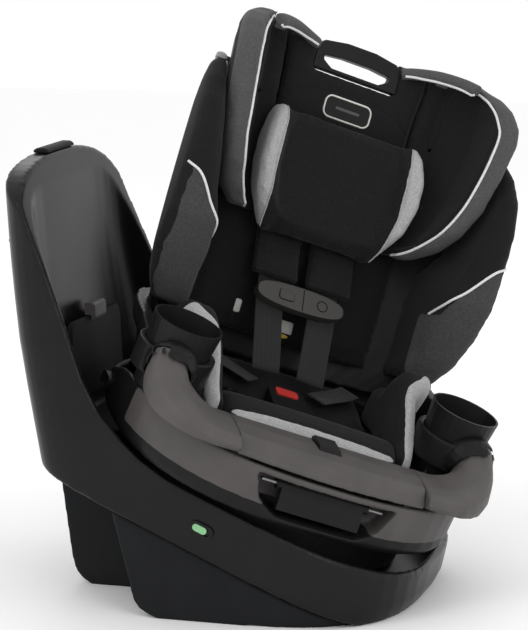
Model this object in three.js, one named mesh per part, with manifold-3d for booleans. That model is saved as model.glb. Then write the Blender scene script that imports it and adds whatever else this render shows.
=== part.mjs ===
// Convertible car seat on a tilted swivel base.
// Millimetres, +Z up, origin on the flat underside of the base below the swivel centre.
// +X is the front of the base, the tall back panel stands at -X.
import * as THREE from 'three';
import { mergeVertices } from 'three/addons/utils/BufferGeometryUtils.js';
import Module from 'manifold-3d';

const wasm = await Module();
wasm.setup();

// ---------- driving dimensions ----------
const DEG = Math.PI / 180;
const GAP = 0.4;                 // running gap between neighbouring pieces
const TILT = 24 * DEG;           // swivel axis leans towards the front of the base
const SWIVEL = 32 * DEG;         // rest position of the seat on its base
const AXIS_X = 5;
const AXIS_Z = 145;              // height of the swivel centre, on the plane of the rim

// base
const BASE_HALF = 208;           // half width of the bowl
const BASE_FRONT = 222;
const PANEL_HALF = 190;
const PANEL_TOP = 536;
const BASE_WALL = 9;
const HOUSING_INSET = 8;
const HOUSING_WALL = 7;
const HOUSING_REAR = -136;       // rear edge of the front housing where it meets the shell
const FLOOR_TOP = -38;           // bowl floor, along the swivel axis
const FLOOR_UNDER = -47;
const SKIRT_LINE = -68.5;        // lower edge of the glossy shell, along the swivel axis
const FOOT_HALF = 76;

// carriage
const DRUM_R = 190;
const DRUM_FOOT = -34;
const DECK_Z = 10;               // underside of the carriage deck
const DECK_THICK = 5;
const CARRIAGE_HALF = 226;
const CARRIAGE_FRONT = 211;
const CARRIAGE_WALL = 8;
const CARRIAGE_TOP = 74;
const CARRIAGE_REAR_TOP = 38;
const HUB_R = 38;
const PIN_RADIUS = 150;          // lock pin and its sockets, from the swivel axis
const SOCKET_R = 7.8;

// recline: the seat runs on two arcs about one cross axis
const RECLINE_Y = 60;
const RECLINE_Z = 500;
const RECLINE_R = 470;
const RAIL_X = 118;
const RAIL_WIDE = 22;

// seat back frame: x across, y = depth (back positive), z = distance up the back
const BACK_Y = 150;
const BACK_Z = 95;
const BACK_LEAN = 24 * DEG;
const SHELL_HALF = 224;
const SHELL_DEPTH = 45;
const SHELL_WALL = 9;
const SHELL_FRONT = -62;         // how far forward the hard shell reaches beside the child
const WING_TOP = 332;

// headrest
const HEAD_LOW = 164;
const HEAD_TOP = 412;
const HEAD_SKIN = 5;
const HEAD_WING = 27;            // thickness of a head wing at its front edge

// cups
const CUP_X = 190;
const CUP_Y = -46;
const CUP_RIM_Z = 166;
const CUP_FOOT_Z = 76;
const CUP_RIM_R = 44;
const CUP_FOOT_R = 35;
const CUP_WALL = 2.6;

// harness
const WEB_WIDE = 38;
const WEB_THICK = 2.4;
const WEB_X = 37;

// ---------- materials ----------
const material = (color, roughness, metalness = 0) =>
  new THREE.MeshStandardMaterial({ color, roughness, metalness });
const GLOSS_BLACK = material(0x17181a, 0.32);
const MATT_BLACK = material(0x232427, 0.72);
const WARM_GREY = material(0x5f5b5b, 0.5);
const SATIN_BLACK = material(0x1c1c1e, 0.4);
const BLACK_CLOTH = material(0x1f1f21, 0.95);
const GREY_CLOTH = material(0x55565a, 0.95);
const SILVER_PLASTIC = material(0xa5a7aa, 0.35);
const WEBBING = material(0x2b2c2f, 0.85);
const BUCKLE_GREY = material(0x37342f, 0.55);
const RED_PLASTIC = material(0xb3282b, 0.45);
const GREEN_PLASTIC = material(0x7cc28c, 0.4);
const STEEL = material(0x9a9da1, 0.35, 0.9);
const NYLON = material(0xd8d8d2, 0.5);

// ---------- geometry helpers ----------
const vec = (x, y, z) => new THREE.Vector3(x, y, z);
const lerp = THREE.MathUtils.lerp;
const signedPower = (value, power) => Math.sign(value) * Math.abs(value) ** power;

// value of a smooth curve through [key, value] pairs
function along(pairs, key) {
  const last = pairs.length - 1;
  if (key <= pairs[0][0]) return pairs[0][1];
  if (key >= pairs[last][0]) return pairs[last][1];
  let i = 0;
  while (key > pairs[i + 1][0]) i += 1;
  const [k0, v0] = pairs[i];
  const [k1, v1] = pairs[i + 1];
  const slope = (a, b) => (pairs[b][1] - pairs[a][1]) / (pairs[b][0] - pairs[a][0]);
  const m0 = slope(Math.max(i - 1, 0), i + 1) * (k1 - k0);
  const m1 = slope(i, Math.min(i + 2, last)) * (k1 - k0);
  const t = (key - k0) / (k1 - k0);
  const t2 = t * t;
  const t3 = t2 * t;
  return (2 * t3 - 3 * t2 + 1) * v0 + (t3 - 2 * t2 + t) * m0 + (3 * t2 - 2 * t3) * v1 + (t3 - t2) * m1;
}

const steps = (from, to, count) => Array.from({ length: count + 1 }, (_, i) => lerp(from, to, i / count));

function indexed(points, index) {
  const geometry = new THREE.BufferGeometry();
  const flat = points.flatMap((p) => [p.x, p.y, p.z]);
  geometry.setAttribute('position', new THREE.Float32BufferAttribute(flat, 3));
  geometry.setIndex(index);
  return geometry;
}

function signedVolume(points, index) {
  let total = 0;
  for (let i = 0; i < index.length; i += 3) {
    const [a, b, c] = [points[index[i]], points[index[i + 1]], points[index[i + 2]]];
    total += a.dot(b.clone().cross(c));
  }
  return total;
}

// closed solid through rings that all have the same number of points
function loft(rings) {
  const count = rings[0].length;
  const points = rings.flat();
  const index = [];
  for (let r = 0; r < rings.length - 1; r += 1) {
    for (let i = 0; i < count; i += 1) {
      const a = r * count + i;
      const b = r * count + ((i + 1) % count);
      index.push(a, b, b + count, a, b + count, a + count);
    }
  }
  for (const [ring, start] of [[rings[0], 0], [rings[rings.length - 1], (rings.length - 1) * count]]) {
    const normal = new THREE.Vector3();
    ring.forEach((p, i) => normal.add(p.clone().cross(ring[(i + 1) % count])));
    const side = Math.abs(normal.x) > Math.abs(normal.z) ? vec(0, 0, 1) : vec(1, 0, 0);
    const v = normal.clone().cross(side).normalize();
    const u = v.clone().cross(normal).normalize();
    const flat = ring.map((p) => new THREE.Vector2(p.dot(u), p.dot(v)));
    const bottom = start === 0;
    for (const [a, b, c] of THREE.ShapeUtils.triangulateShape(flat, [])) {
      index.push(...(bottom ? [start + a, start + c, start + b] : [start + a, start + b, start + c]));
    }
  }
  const turned = signedVolume(points, index) < 0;
  if (turned) index.reverse();
  return indexed(points, index);
}

function clean(geometry) {
  const bare = geometry.clone();
  bare.deleteAttribute('normal');
  bare.deleteAttribute('uv');
  return mergeVertices(bare, 1e-3);
}

function solid(geometry) {
  const bare = clean(geometry);
  return new wasm.Manifold(new wasm.Mesh({
    numProp: 3,
    vertProperties: new Float32Array(bare.attributes.position.array),
    triVerts: new Uint32Array(bare.index.array),
  }));
}

function geometryOf(manifold) {
  const mesh = manifold.getMesh();
  const geometry = new THREE.BufferGeometry();
  geometry.setAttribute('position', new THREE.BufferAttribute(mesh.vertProperties, 3));
  geometry.setIndex(new THREE.BufferAttribute(mesh.triVerts, 1));
  return geometry;
}

const join = (...list) => list.reduce((a, b) => a.add(b));
const cut = (from, ...tools) => tools.reduce((a, b) => a.subtract(b), from);

function box(x0, x1, y0, y1, z0, z1) {
  const geometry = new THREE.BoxGeometry(x1 - x0, y1 - y0, z1 - z0);
  return geometry.translate((x0 + x1) / 2, (y0 + y1) / 2, (z0 + z1) / 2);
}

// upright cylinder or cone
function drum(radius, z0, z1, sides = 32, topRadius = radius, x = 0, y = 0) {
  const geometry = new THREE.CylinderGeometry(topRadius, radius, z1 - z0, sides);
  return geometry.rotateX(Math.PI / 2).translate(x, y, (z0 + z1) / 2);
}

// lathe about the Z axis from [radius, height] pairs
function turned(profile, sides = 40) {
  return new THREE.LatheGeometry(profile.map(([r, z]) => new THREE.Vector2(r, z)), sides).rotateX(Math.PI / 2);
}

// outline of [a, b] points, extruded along X between two stations; a is Y and b is Z
function plateAcross(outline, x0, x1) {
  const shape = new THREE.Shape(outline.map(([a, b]) => new THREE.Vector2(a, b)));
  const geometry = new THREE.ExtrudeGeometry(shape, { depth: x1 - x0, bevelEnabled: false });
  const basis = new THREE.Matrix4().makeBasis(vec(0, 1, 0), vec(0, 0, 1), vec(1, 0, 0));
  return geometry.applyMatrix4(basis).translate(x0, 0, 0);
}

// outline of [x, z] points, extruded along Y between two stations
function plateAlong(outline, y0, y1) {
  const shape = new THREE.Shape(outline.map(([a, b]) => new THREE.Vector2(a, b)));
  const geometry = new THREE.ExtrudeGeometry(shape, { depth: y1 - y0, bevelEnabled: false });
  return geometry.rotateX(Math.PI / 2).translate(0, y1, 0);
}

function arcPoints(cx, cy, radius, from, to, count) {
  return steps(from, to, count).map((a) => [cx + radius * Math.cos(a), cy + radius * Math.sin(a)]);
}

// rounded bar outline, centred on the origin
function pill(length, height, count = 10) {
  const r = height / 2;
  const reach = length / 2 - r;
  return [
    ...arcPoints(reach, 0, r, -Math.PI / 2, Math.PI / 2, count),
    ...arcPoints(-reach, 0, r, Math.PI / 2, 1.5 * Math.PI, count),
  ];
}

function roundedBox(width, height, r, count = 4) {
  const [a, b] = [width / 2 - r, height / 2 - r];
  const quarter = Math.PI / 2;
  return [
    ...arcPoints(a, b, r, 0, quarter, count),
    ...arcPoints(-a, b, r, quarter, 2 * quarter, count),
    ...arcPoints(-a, -b, r, 2 * quarter, 3 * quarter, count),
    ...arcPoints(a, -b, r, 3 * quarter, 4 * quarter, count),
  ];
}

// closed oval ring at one height; the two halves along X can differ in reach and squareness
function ovalRing(z, { front, back, half, frontPower = 3, backPower = 5, inset = 0 }, count = 44) {
  return Array.from({ length: count }, (_, i) => {
    const a = ((i + 0.5) / count) * 2 * Math.PI;
    const ahead = Math.cos(a) >= 0;
    const power = 2 / (ahead ? frontPower : backPower);
    const reach = (ahead ? front : back) - inset;
    return vec(reach * signedPower(Math.cos(a), power), (half - inset) * signedPower(Math.sin(a), power), z);
  });
}

// flat band swept along centre points; `across` gives the band's width direction
function band(centres, width, thickness, across = vec(1, 0, 0)) {
  const rings = centres.map((p, i) => {
    const ahead = centres[Math.min(i + 1, centres.length - 1)];
    const behind = centres[Math.max(i - 1, 0)];
    const run = ahead.clone().sub(behind).normalize();
    const face = run.clone().cross(across).normalize();
    const wide = face.clone().cross(run).normalize();
    return [[-1, -1], [1, -1], [1, 1], [-1, 1]].map(([a, b]) =>
      p.clone().addScaledVector(wide, a * width / 2).addScaledVector(face, b * thickness / 2));
  });
  return loft(rings);
}

const mirror = (geometry) => {
  const copy = clean(geometry).scale(-1, 1, 1);
  const index = Array.from(copy.index.array).reverse();
  copy.setIndex(index);
  return copy;
};

// ---------- scene graph ----------
const group = new THREE.Group();
const carriage = new THREE.Group();
carriage.position.set(AXIS_X, 0, AXIS_Z);
carriage.rotation.set(0, TILT, 0);
const seat = new THREE.Group();
seat.rotation.z = SWIVEL;
const back = new THREE.Group();
back.position.set(0, BACK_Y, BACK_Z);
back.rotation.x = -BACK_LEAN;
group.add(carriage);
carriage.add(seat);
seat.add(back);

function piece(parent, name, geometry, finish) {
  const mesh = new THREE.Mesh(geometry, finish);
  mesh.name = name;
  parent.add(mesh);
  return mesh;
}

function pair(parent, name, geometry, finish) {
  piece(parent, `${name}_R`, geometry, finish);
  piece(parent, `${name}_L`, mirror(geometry), finish);
}

// moves a solid from the tilted carriage frame into the base frame
const tiltMatrix = new THREE.Matrix4()
  .makeTranslation(AXIS_X, 0, AXIS_Z)
  .multiply(new THREE.Matrix4().makeRotationY(TILT));
const tilted = (geometry) => geometry.clone().applyMatrix4(tiltMatrix);
// moves a solid from the seat-back frame into the seat frame
const backMatrix = new THREE.Matrix4()
  .makeTranslation(0, BACK_Y, BACK_Z)
  .multiply(new THREE.Matrix4().makeRotationX(-BACK_LEAN));
const fromBack = (geometry) => geometry.clone().applyMatrix4(backMatrix);

// ---------- base ----------
const PANEL_BACK = [[0, 208], [59, 215], [216, 245], [325, 268], [417, 280], [490, 285], [560, 289]];
const BASE_WIDE = [
  [0, BASE_HALF], [140, BASE_HALF], [200, BASE_HALF], [300, 200], [400, PANEL_HALF], [560, PANEL_HALF],
];
const BASE_NOSE = [[0, 206], [15, 214], [50, BASE_FRONT], [560, BASE_FRONT]];
const RIM = [
  [260, 31.5], [-60, 174], [-92, 194], [-118, 217], [-145, 247], [-167, 285], [-185, 330],
  [-211, 393], [-226, 429], [-240, 462], [-252, 494], [-262, 530], [-266, 600], [-340, 600], [-340, -20], [260, -20],
];

const BACK_POWER = 8;            // squareness of the base's plan towards the panel
function basePlan(z, inset = 0) {
  const half = along(BASE_WIDE, z);
  const [front, rear] = [along(BASE_NOSE, z), along(PANEL_BACK, z)];
  return ovalRing(z, { front, back: rear, half, backPower: BACK_POWER, inset });
}

// the open side of the bowl: it stays one wall inside the plan low down and leaves a thick panel high up
const PANEL_THICK = [[0, BASE_WALL], [185, BASE_WALL], [260, 26], [340, 32], [560, 30]];
function bowlPlan(z, grow) {
  return ovalRing(z, {
    front: along(BASE_NOSE, z), back: along(PANEL_BACK, z) + BASE_WALL - along(PANEL_THICK, z),
    half: along(BASE_WIDE, z), backPower: BACK_POWER, inset: BASE_WALL - grow,
  });
}

const baseLoft = (levels, inset) => solid(loft(levels.map((z) => basePlan(z, inset))));
const SHELL_LEVELS = [0, 15, 50, 120, 180, 216, 270, 325, 370, 417, 455, 490, 525, 560];
const belowRim = solid(plateAlong(RIM, -260, 260));
const ARCH_SPRING = 430;
const ARCH_POWER = 2 / 2.7;
const archOutline = (grow) => [
  ...steps(0, Math.PI, 28).map((a) => [
    (PANEL_HALF + 3 + grow) * signedPower(Math.cos(a), ARCH_POWER),
    ARCH_SPRING + (PANEL_TOP - ARCH_SPRING + grow) * Math.sin(a) ** ARCH_POWER,
  ]),
  [-260, 330], [-260, -30], [260, -30], [260, 330],
];
const underArch = (grow) => solid(plateAcross(archOutline(grow), -400, 400));
const slabAbove = (level) => solid(tilted(box(-600, 600, -400, 400, level, level + 900)));
const slabBelow = (level) => solid(tilted(box(-600, 600, -400, 400, level - 900, level)));

// belt lock-off door: place of its hinge pin, lean against the panel and sizes
const DOOR = { x: -224.4, z: 238.4, lean: 3 * DEG, half: 88, tall: 86, knuckle: 6, pin: 3 };
const barAcross = (radius, half) => new THREE.CylinderGeometry(radius, radius, 2 * half, 20);

function baseShell() {
  const outer = baseLoft(SHELL_LEVELS, 0).intersect(belowRim).intersect(underArch(0));
  const levels = [-2, ...SHELL_LEVELS.slice(1)];
  const bowl = solid(loft(levels.map((z) => bowlPlan(z, 0)))).intersect(slabAbove(FLOOR_TOP));
  const bowlSkin = solid(loft(levels.map((z) => bowlPlan(z, BASE_WALL)))).intersect(slabAbove(FLOOR_UNDER));
  const inside = baseLoft(levels, BASE_WALL).intersect(underArch(-BASE_WALL));
  const hubHole = solid(tilted(drum(HUB_R + 2, FLOOR_UNDER - 5, FLOOR_TOP + 5)));
  const sockets = [0, 1, 2, 3].map((quarter) => {
    const a = quarter * Math.PI / 2;
    const [x, y] = [PIN_RADIUS * Math.cos(a), PIN_RADIUS * Math.sin(a)];
    return solid(tilted(drum(SOCKET_R, FLOOR_UNDER - 5, FLOOR_TOP + 5, 16, SOCKET_R, x, y)));
  });
  const knuckleGroove = solid(barAcross(DOOR.knuckle + 1.4, 72).translate(DOOR.x, 0, DOOR.z));
  const pinSaddle = solid(barAcross(DOOR.pin + GAP, 85).translate(DOOR.x, 0, DOOR.z));
  const cavity = cut(inside, bowlSkin);
  const openings = [bowl, cavity, hubHole, ...sockets, knuckleGroove, pinSaddle];
  return cut(outer.intersect(slabAbove(SKIRT_LINE)), ...openings);
}

piece(group, 'base_shell', geometryOf(baseShell()), GLOSS_BLACK);

function baseHousing() {
  const levels = [0, 15, 50, 120, 180, 216];
  const outer = baseLoft(levels, HOUSING_INSET).intersect(slabBelow(SKIRT_LINE - GAP));
  const room = baseLoft([6, 50, 120, 180, 217], HOUSING_INSET + HOUSING_WALL);
  const rearLine = [
    [0, 220], [0, 135], [26, 40], [28, 28], [31.5, 18], [37, 11], [45, 5.5], [54, 2], [66, -10],
  ];
  const behind = [[-400, -10], [-400, 220]];
  const rear = plateAlong([...rearLine.map(([x, z]) => [HOUSING_REAR + x, z]), ...behind], -260, 260);
  const rearInner = plateAlong(
    [...rearLine.map(([x, z]) => [HOUSING_REAR + HOUSING_WALL + x, z]), ...behind], -260, 260);
  return cut(cut(outer, solid(rear)), cut(room, solid(rearInner)));
}
piece(group, 'base_housing', geometryOf(baseHousing()), MATT_BLACK);

function rearFoot() {
  const side = [
    [-204, 0], [-215, 6], [-224, 17], [-229, 34], [-238, 100], [-249, 183], [-250, 260], [-142, 260],
    [-142, 140], [-132, 60], [-124, 0],
  ];
  const block = solid(plateAlong(side, -FOOT_HALF, FOOT_HALF));
  const room = solid(plateAlong([[-218, 30], [-236, 160], [-236, 300], [-150, 300], [-150, 140], [-140, 30]],
    -FOOT_HALF + 7, FOOT_HALF - 7));
  return cut(block.intersect(slabBelow(SKIRT_LINE - GAP)), room);
}
piece(group, 'rear_foot', geometryOf(rearFoot()), MATT_BLACK);

const coverSection = [[-270, 392], [-296, 404], [-302, 432], [-299, 455], [-286, 494], [-270, 494]];
const panelOutside = baseLoft(SHELL_LEVELS, -GAP);
const coverBlank = solid(plateAlong(coverSection, -88, 88));
piece(group, 'panel_rear_cover', geometryOf(cut(coverBlank, panelOutside)), MATT_BLACK);

const capSection = [
  [-284, PANEL_TOP - 7], [-284, PANEL_TOP + 3], [-279, PANEL_TOP + 6], [-268, PANEL_TOP + 6],
  [-264, PANEL_TOP + 3], [-264, PANEL_TOP - 7],
];
const topCap = cut(solid(plateAlong(capSection, -46, 46)), underArch(GAP));
piece(group, 'panel_top_cap', geometryOf(topCap), MATT_BLACK);

const race = [[104, -37.6], [120, -37.6], [120, -34.4], [104, -34.4], [104, -37.6]];
piece(carriage, 'bearing_race', turned(race, 32), NYLON);
const retainer = [[HUB_R + GAP, -54], [58, -54], [58, -47.4], [HUB_R + GAP, -47.4], [HUB_R + GAP, -54]];
piece(carriage, 'hub_retainer', turned(retainer, 28), STEEL);

// lock window on the near side of the bowl, in line with the rim
const window = new THREE.Group();
window.position.set(-16, -BASE_HALF - GAP, 116);
window.rotation.y = TILT;
group.add(window);
const bezel = cut(solid(plateAlong(pill(31, 16), -2.4, 0)), solid(plateAlong(pill(24, 9.6), -4, 2)));
piece(window, 'indicator_bezel', geometryOf(bezel), GLOSS_BLACK);
piece(window, 'lock_indicator', plateAlong(pill(18.5, 8.8), -1.8, -0.2).translate(-2.35, 0, 0), GREEN_PLASTIC);

// belt lock-off door on the inner face of the panel, hinged along its lower edge
const door = new THREE.Group();
door.position.set(DOOR.x, 0, DOOR.z);
door.rotation.y = -DOOR.lean;
group.add(door);
const doorPlate = solid(plateAcross(
  roundedBox(2 * DOOR.half, DOOR.tall, 14).map(([y, z]) => [y, z + DOOR.tall / 2 + DOOR.knuckle]), 2, 9));
const doorWeb = solid(box(2, 9, -60, 60, -2, 24));
const doorHole = solid(barAcross(DOOR.pin + GAP, DOOR.half));
const doorBody = cut(join(doorPlate, solid(barAcross(DOOR.knuckle, 70)), doorWeb), doorHole);
piece(door, 'lockoff_door', geometryOf(doorBody), MATT_BLACK);
piece(door, 'lockoff_pin', barAcross(DOOR.pin, 84), STEEL);
// hooks over the door's upper edge and lifts to free it
const latchSide = [[0, 0.8], [8.3, 0.8], [8.3, -5], [12.5, -5], [14, -1.5], [14, 13], [10.5, 16], [0, 16]];
const doorTop = DOOR.tall + DOOR.knuckle;
piece(door, 'lockoff_latch', plateAlong(latchSide.map(([x, z]) => [x + 1.5, z + doorTop]), -20, 20), WARM_GREY);

// ---------- swivel carriage ----------
function turntable() {
  const disc = solid(drum(DRUM_R, DRUM_FOOT, DECK_Z - GAP, 48));
  const room = solid(drum(DRUM_R - 9, DRUM_FOOT + 12, DECK_Z + 5, 48));
  const hub = solid(drum(HUB_R + 14, DRUM_FOOT + 2, DECK_Z - GAP, 36));
  const hole = solid(drum(HUB_R + GAP, DRUM_FOOT - 5, DECK_Z + 5, 36));
  const pinHole = solid(drum(8, DRUM_FOOT - 5, DECK_Z, 20, 8, 0, -PIN_RADIUS));
  return cut(join(cut(disc, room), hub), hole, pinHole);
}
piece(seat, 'turntable', geometryOf(turntable()), SATIN_BLACK);
const hubShaft = [[0, -58], [HUB_R, -58], [HUB_R, DECK_Z - GAP], [24, DECK_Z - GAP], [24, -50], [0, -50]];
piece(seat, 'swivel_hub', turned(hubShaft, 28), STEEL);

function carriagePlan(z, inset = 0) {
  const ring = ovalRing(z, {
    front: CARRIAGE_FRONT, back: 205, half: CARRIAGE_HALF, frontPower: 2.5, backPower: 2.3, inset,
  });
  return ring.map((p) => vec(p.y, -p.x, p.z));
}

const SKIRT_SIDE = [
  [-300, DECK_Z - 5], [-300, CARRIAGE_TOP], [-20, CARRIAGE_TOP], [10, CARRIAGE_TOP - 6],
  [85, CARRIAGE_REAR_TOP], [300, CARRIAGE_REAR_TOP], [300, DECK_Z - 5],
];
const POCKET = { half: 92, low: 20, depth: 42 };

function carriageSkirt() {
  const levels = [DECK_Z, DECK_Z + 8, 40, CARRIAGE_TOP + 4];
  const outer = solid(loft(levels.map((z, i) => carriagePlan(z, i === 0 ? 5 : 0))));
  const room = solid(loft([DECK_Z + DECK_THICK, CARRIAGE_TOP + 8].map((z) => carriagePlan(z, CARRIAGE_WALL))));
  const profile = solid(plateAcross(SKIRT_SIDE, -300, 300));
  const mouth = [
    [-POCKET.half, CARRIAGE_TOP - 8], [-POCKET.half + 14, 34], [-POCKET.half + 40, POCKET.low],
    [POCKET.half - 40, POCKET.low], [POCKET.half - 14, 34], [POCKET.half, CARRIAGE_TOP - 8],
  ];
  const pocket = solid(plateAlong(mouth, -260, -CARRIAGE_FRONT + POCKET.depth));
  const liner = solid(plateAlong(mouth.map(([x, z]) => [x * 1.07, z > 50 ? z + 4 : z - 4]),
    -CARRIAGE_FRONT + 3, -CARRIAGE_FRONT + POCKET.depth + 4));
  const shell = join(cut(outer, room), liner.intersect(outer)).intersect(profile);
  const leverSlots = [-1, 1].map((s) => solid(box(s * 214 - 22, s * 214 + 22, 22, 62, 24, 44)));
  const springSeat = solid(drum(5, DECK_Z - 2, DECK_Z + DECK_THICK + 2, 16, 5, 0, -PIN_RADIUS));
  return cut(shell, pocket, springSeat, ...leverSlots);
}
piece(seat, 'carriage_skirt', geometryOf(carriageSkirt()), WARM_GREY);

function arcBar(inner, outer, fromY, toY, x, wide) {
  const angle = (y) => Math.asin((y - RECLINE_Y) / RECLINE_R) - Math.PI / 2;
  const [a, b] = [angle(fromY), angle(toY)];
  const outline = [
    ...arcPoints(RECLINE_Y, RECLINE_Z, outer, a, b, 18),
    ...arcPoints(RECLINE_Y, RECLINE_Z, inner, b, a, 18),
  ];
  return plateAcross(outline, x - wide / 2, x + wide / 2);
}

function reclineRail() {
  const rail = solid(arcBar(RECLINE_R, RECLINE_R + 90, -124, 168, RAIL_X, RAIL_WIDE));
  const deck = solid(box(0, 300, -400, 400, -100, DECK_Z + DECK_THICK + GAP));
  const skirtRoom = solid(loft([0, 200].map((z) => carriagePlan(z, CARRIAGE_WALL + GAP))));
  return geometryOf(cut(rail, deck).intersect(skirtRoom));
}
pair(seat, 'recline_rail', reclineRail(), STEEL);

const pinShape = [[0, -37.2], [5, -37.2], [7, -34.5], [7, -14], [11, -14], [11, -10], [0, -10]];
piece(seat, 'lock_pin', turned(pinShape, 16).translate(0, -PIN_RADIUS, 0), STEEL);

function coil(radius, wire, turns, z0, z1) {
  const count = turns * 8;
  const route = steps(0, 1, count).map((t) => vec(
    radius * Math.cos(t * turns * 2 * Math.PI), radius * Math.sin(t * turns * 2 * Math.PI), lerp(z0, z1, t)));
  const section = steps(0, 2 * Math.PI, 5).slice(0, 5);
  const up = vec(0, 0, 1);
  return loft(route.map((p) => {
    const out = vec(p.x, p.y, 0).normalize();
    return section.map((a) =>
      p.clone().addScaledVector(out, wire * Math.cos(a)).addScaledVector(up, wire * Math.sin(a)));
  }));
}
piece(seat, 'lock_spring', coil(8, 0.9, 5, -8.4, 8.2).translate(0, -PIN_RADIUS, 0), STEEL);

// recline lever in the front pocket
const LEVER = { y: -187, z: 55 };
const leverGroup = new THREE.Group();
leverGroup.position.set(0, LEVER.y, LEVER.z);
seat.add(leverGroup);
const leverBody = join(
  solid(acrossLever(7, 60)),
  solid(plateAcross([[-6, 2], [-12, -12], [-16, -27], [-9, -30], [-2, -16], [5, 2]], -54, 54)),
);
function acrossLever(radius, half) {
  return new THREE.CylinderGeometry(radius, radius, 2 * half, 20).rotateZ(Math.PI / 2);
}
piece(leverGroup, 'recline_lever', geometryOf(cut(leverBody, solid(acrossLever(2.5 + GAP, 70)))), SATIN_BLACK);
piece(leverGroup, 'recline_lever_pin', acrossLever(2.5, 80), STEEL);

// one rotation release on each side of the carriage, joined by a cable
const gripBlock = solid(plateAcross(roundedBox(36, 16, 5).map(([y, z]) => [y + 42, z + 34]), 204, 230));
const fingerDish = solid(new THREE.CylinderGeometry(12, 12, 26, 24).translate(237, 42, 34));
pair(seat, 'rotation_lever', geometryOf(cut(gripBlock, fingerDish)), SATIN_BLACK);

// ---------- seat shell ----------
const SHELL_WIDE = [
  [-10, 196], [20, 214], [60, 222], [120, SHELL_HALF], [200, SHELL_HALF], [280, 222], [345, 214],
];
const SHELL_REACH = [[-10, -30], [40, SHELL_FRONT], [250, SHELL_FRONT], [300, -50], [345, -22]];
const WING_REACH = [
  [4, -70], [47, -104], [84, -128], [119, -147], [153, -152], [193, -155], [222, -155], [265, -145],
  [299, -122], [327, -86], [WING_TOP, -60],
];
const FULL_REACH = -155;

// half width of the seat side at a height up the back and a depth, `inset` inside the outer face
function sideWide(u, depth, inset = 0) {
  const half = along(SHELL_WIDE, u) - inset;
  const share = THREE.MathUtils.clamp((depth - FULL_REACH) / (SHELL_DEPTH - inset - FULL_REACH), 0, 1);
  return half * (1 - share ** 2.5) ** 0.4;
}

// depth of the seat side at a height up the back and a half width
function sideDepth(u, x, inset) {
  const share = Math.min(Math.abs(x) / (along(SHELL_WIDE, u) - inset), 1);
  return FULL_REACH + (SHELL_DEPTH - inset - FULL_REACH) * (1 - share ** 2.5) ** 0.4;
}

// plan curve of the seat side from its front edge round to the middle of the back
function sideCurve(u, reach, inset, count) {
  const half = along(SHELL_WIDE, u) - inset;
  const depth = SHELL_DEPTH - inset - FULL_REACH;
  const start = Math.asin(THREE.MathUtils.clamp((reach - FULL_REACH) / depth, 0, 1) ** 1.25);
  return steps(start, Math.PI / 2, count).map((a) => [
    half * Math.cos(a) ** 0.8,
    FULL_REACH + depth * Math.sin(a) ** 0.8,
  ]);
}

// closed ring from a right-hand outline that runs from the front tip to the middle
function symmetricRing(outer, inner, u) {
  const flip = ([x, d]) => [-x, d];
  const outline = [
    ...outer,
    ...outer.slice(0, -1).reverse().map(flip),
    ...inner.slice(0, -1).map(flip),
    ...inner.slice().reverse(),
  ];
  return outline.map(([x, d]) => vec(x, d, u));
}

function shellRing(u) {
  const reach = along(SHELL_REACH, u);
  return symmetricRing(sideCurve(u, reach, 0, 9), sideCurve(u, reach, SHELL_WALL, 9), u);
}

const TUB_LEVELS = [[56, 186], [76, 192], [84, 194], [104, 210], [128, 214]];
const TUB_FLOOR = 62;
const TUB_FRONT = 145;
const TUB_BACK = 150;
const TUB_MIDDLE = 42;

function tubPlan(z, half, inset) {
  const ring = ovalRing(z, { front: TUB_FRONT, back: TUB_BACK, half, frontPower: 6, backPower: 4, inset });
  return ring.map((p) => vec(p.y, -p.x + TUB_MIDDLE, p.z));
}

function insideRing(u) {
  const inner = sideCurve(Math.max(u, -10), FULL_REACH, SHELL_WALL, 10);
  const outline = [...inner, ...inner.slice(0, -1).reverse().map(([x, d]) => [-x, d])];
  return outline.map(([x, d]) => vec(x, d, u));
}

// arm: runs from the end of the bumper round the corner and up to the cup
const ARM_ROUTE = [
  vec(124.4, -156, 88), vec(160, -155, 88), vec(188, -140, 90), vec(205, -114, 99), vec(207, -93, 113),
  vec(203, -80, 127),
];
const ARM_WIDE = [[0, 49], [0.22, 46], [0.45, 35], [0.7, 27], [1, 24]];
const ARM_TALL = [[0, 11.5], [0.22, 14], [0.45, 22], [0.7, 26], [1, 25]];

function armSolid(grow) {
  const curve = new THREE.CatmullRomCurve3(ARM_ROUTE, false, 'centripetal');
  return solid(loft(steps(0, 1, 11).map((t) => {
    const centre = curve.getPointAt(t);
    const run = t === 0 ? vec(1, 0, 0) : curve.getTangentAt(t);
    const side = run.clone().cross(vec(0, 0, 1)).normalize();
    const up = side.clone().cross(run).normalize();
    return steps(0, 2 * Math.PI, 14).slice(0, 14).map((a) => centre.clone()
      .addScaledVector(side, (along(ARM_WIDE, t) + grow) * signedPower(Math.cos(a), 0.8))
      .addScaledVector(up, (along(ARM_TALL, t) + grow) * signedPower(Math.sin(a), 0.8)));
  })));
}

const cupAt = (radius, topRadius, z0, z1) => drum(radius, z0, z1, 28, topRadius, CUP_X, CUP_Y);
const cupRoom = solid(cupAt(CUP_FOOT_R + GAP, CUP_RIM_R + GAP + 2, CUP_FOOT_Z - 3, CUP_RIM_Z + 20));
const COLLAR_R = CUP_RIM_R + 5;
const bothSides = (geometry) => join(solid(geometry), solid(mirror(geometry)));

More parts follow.
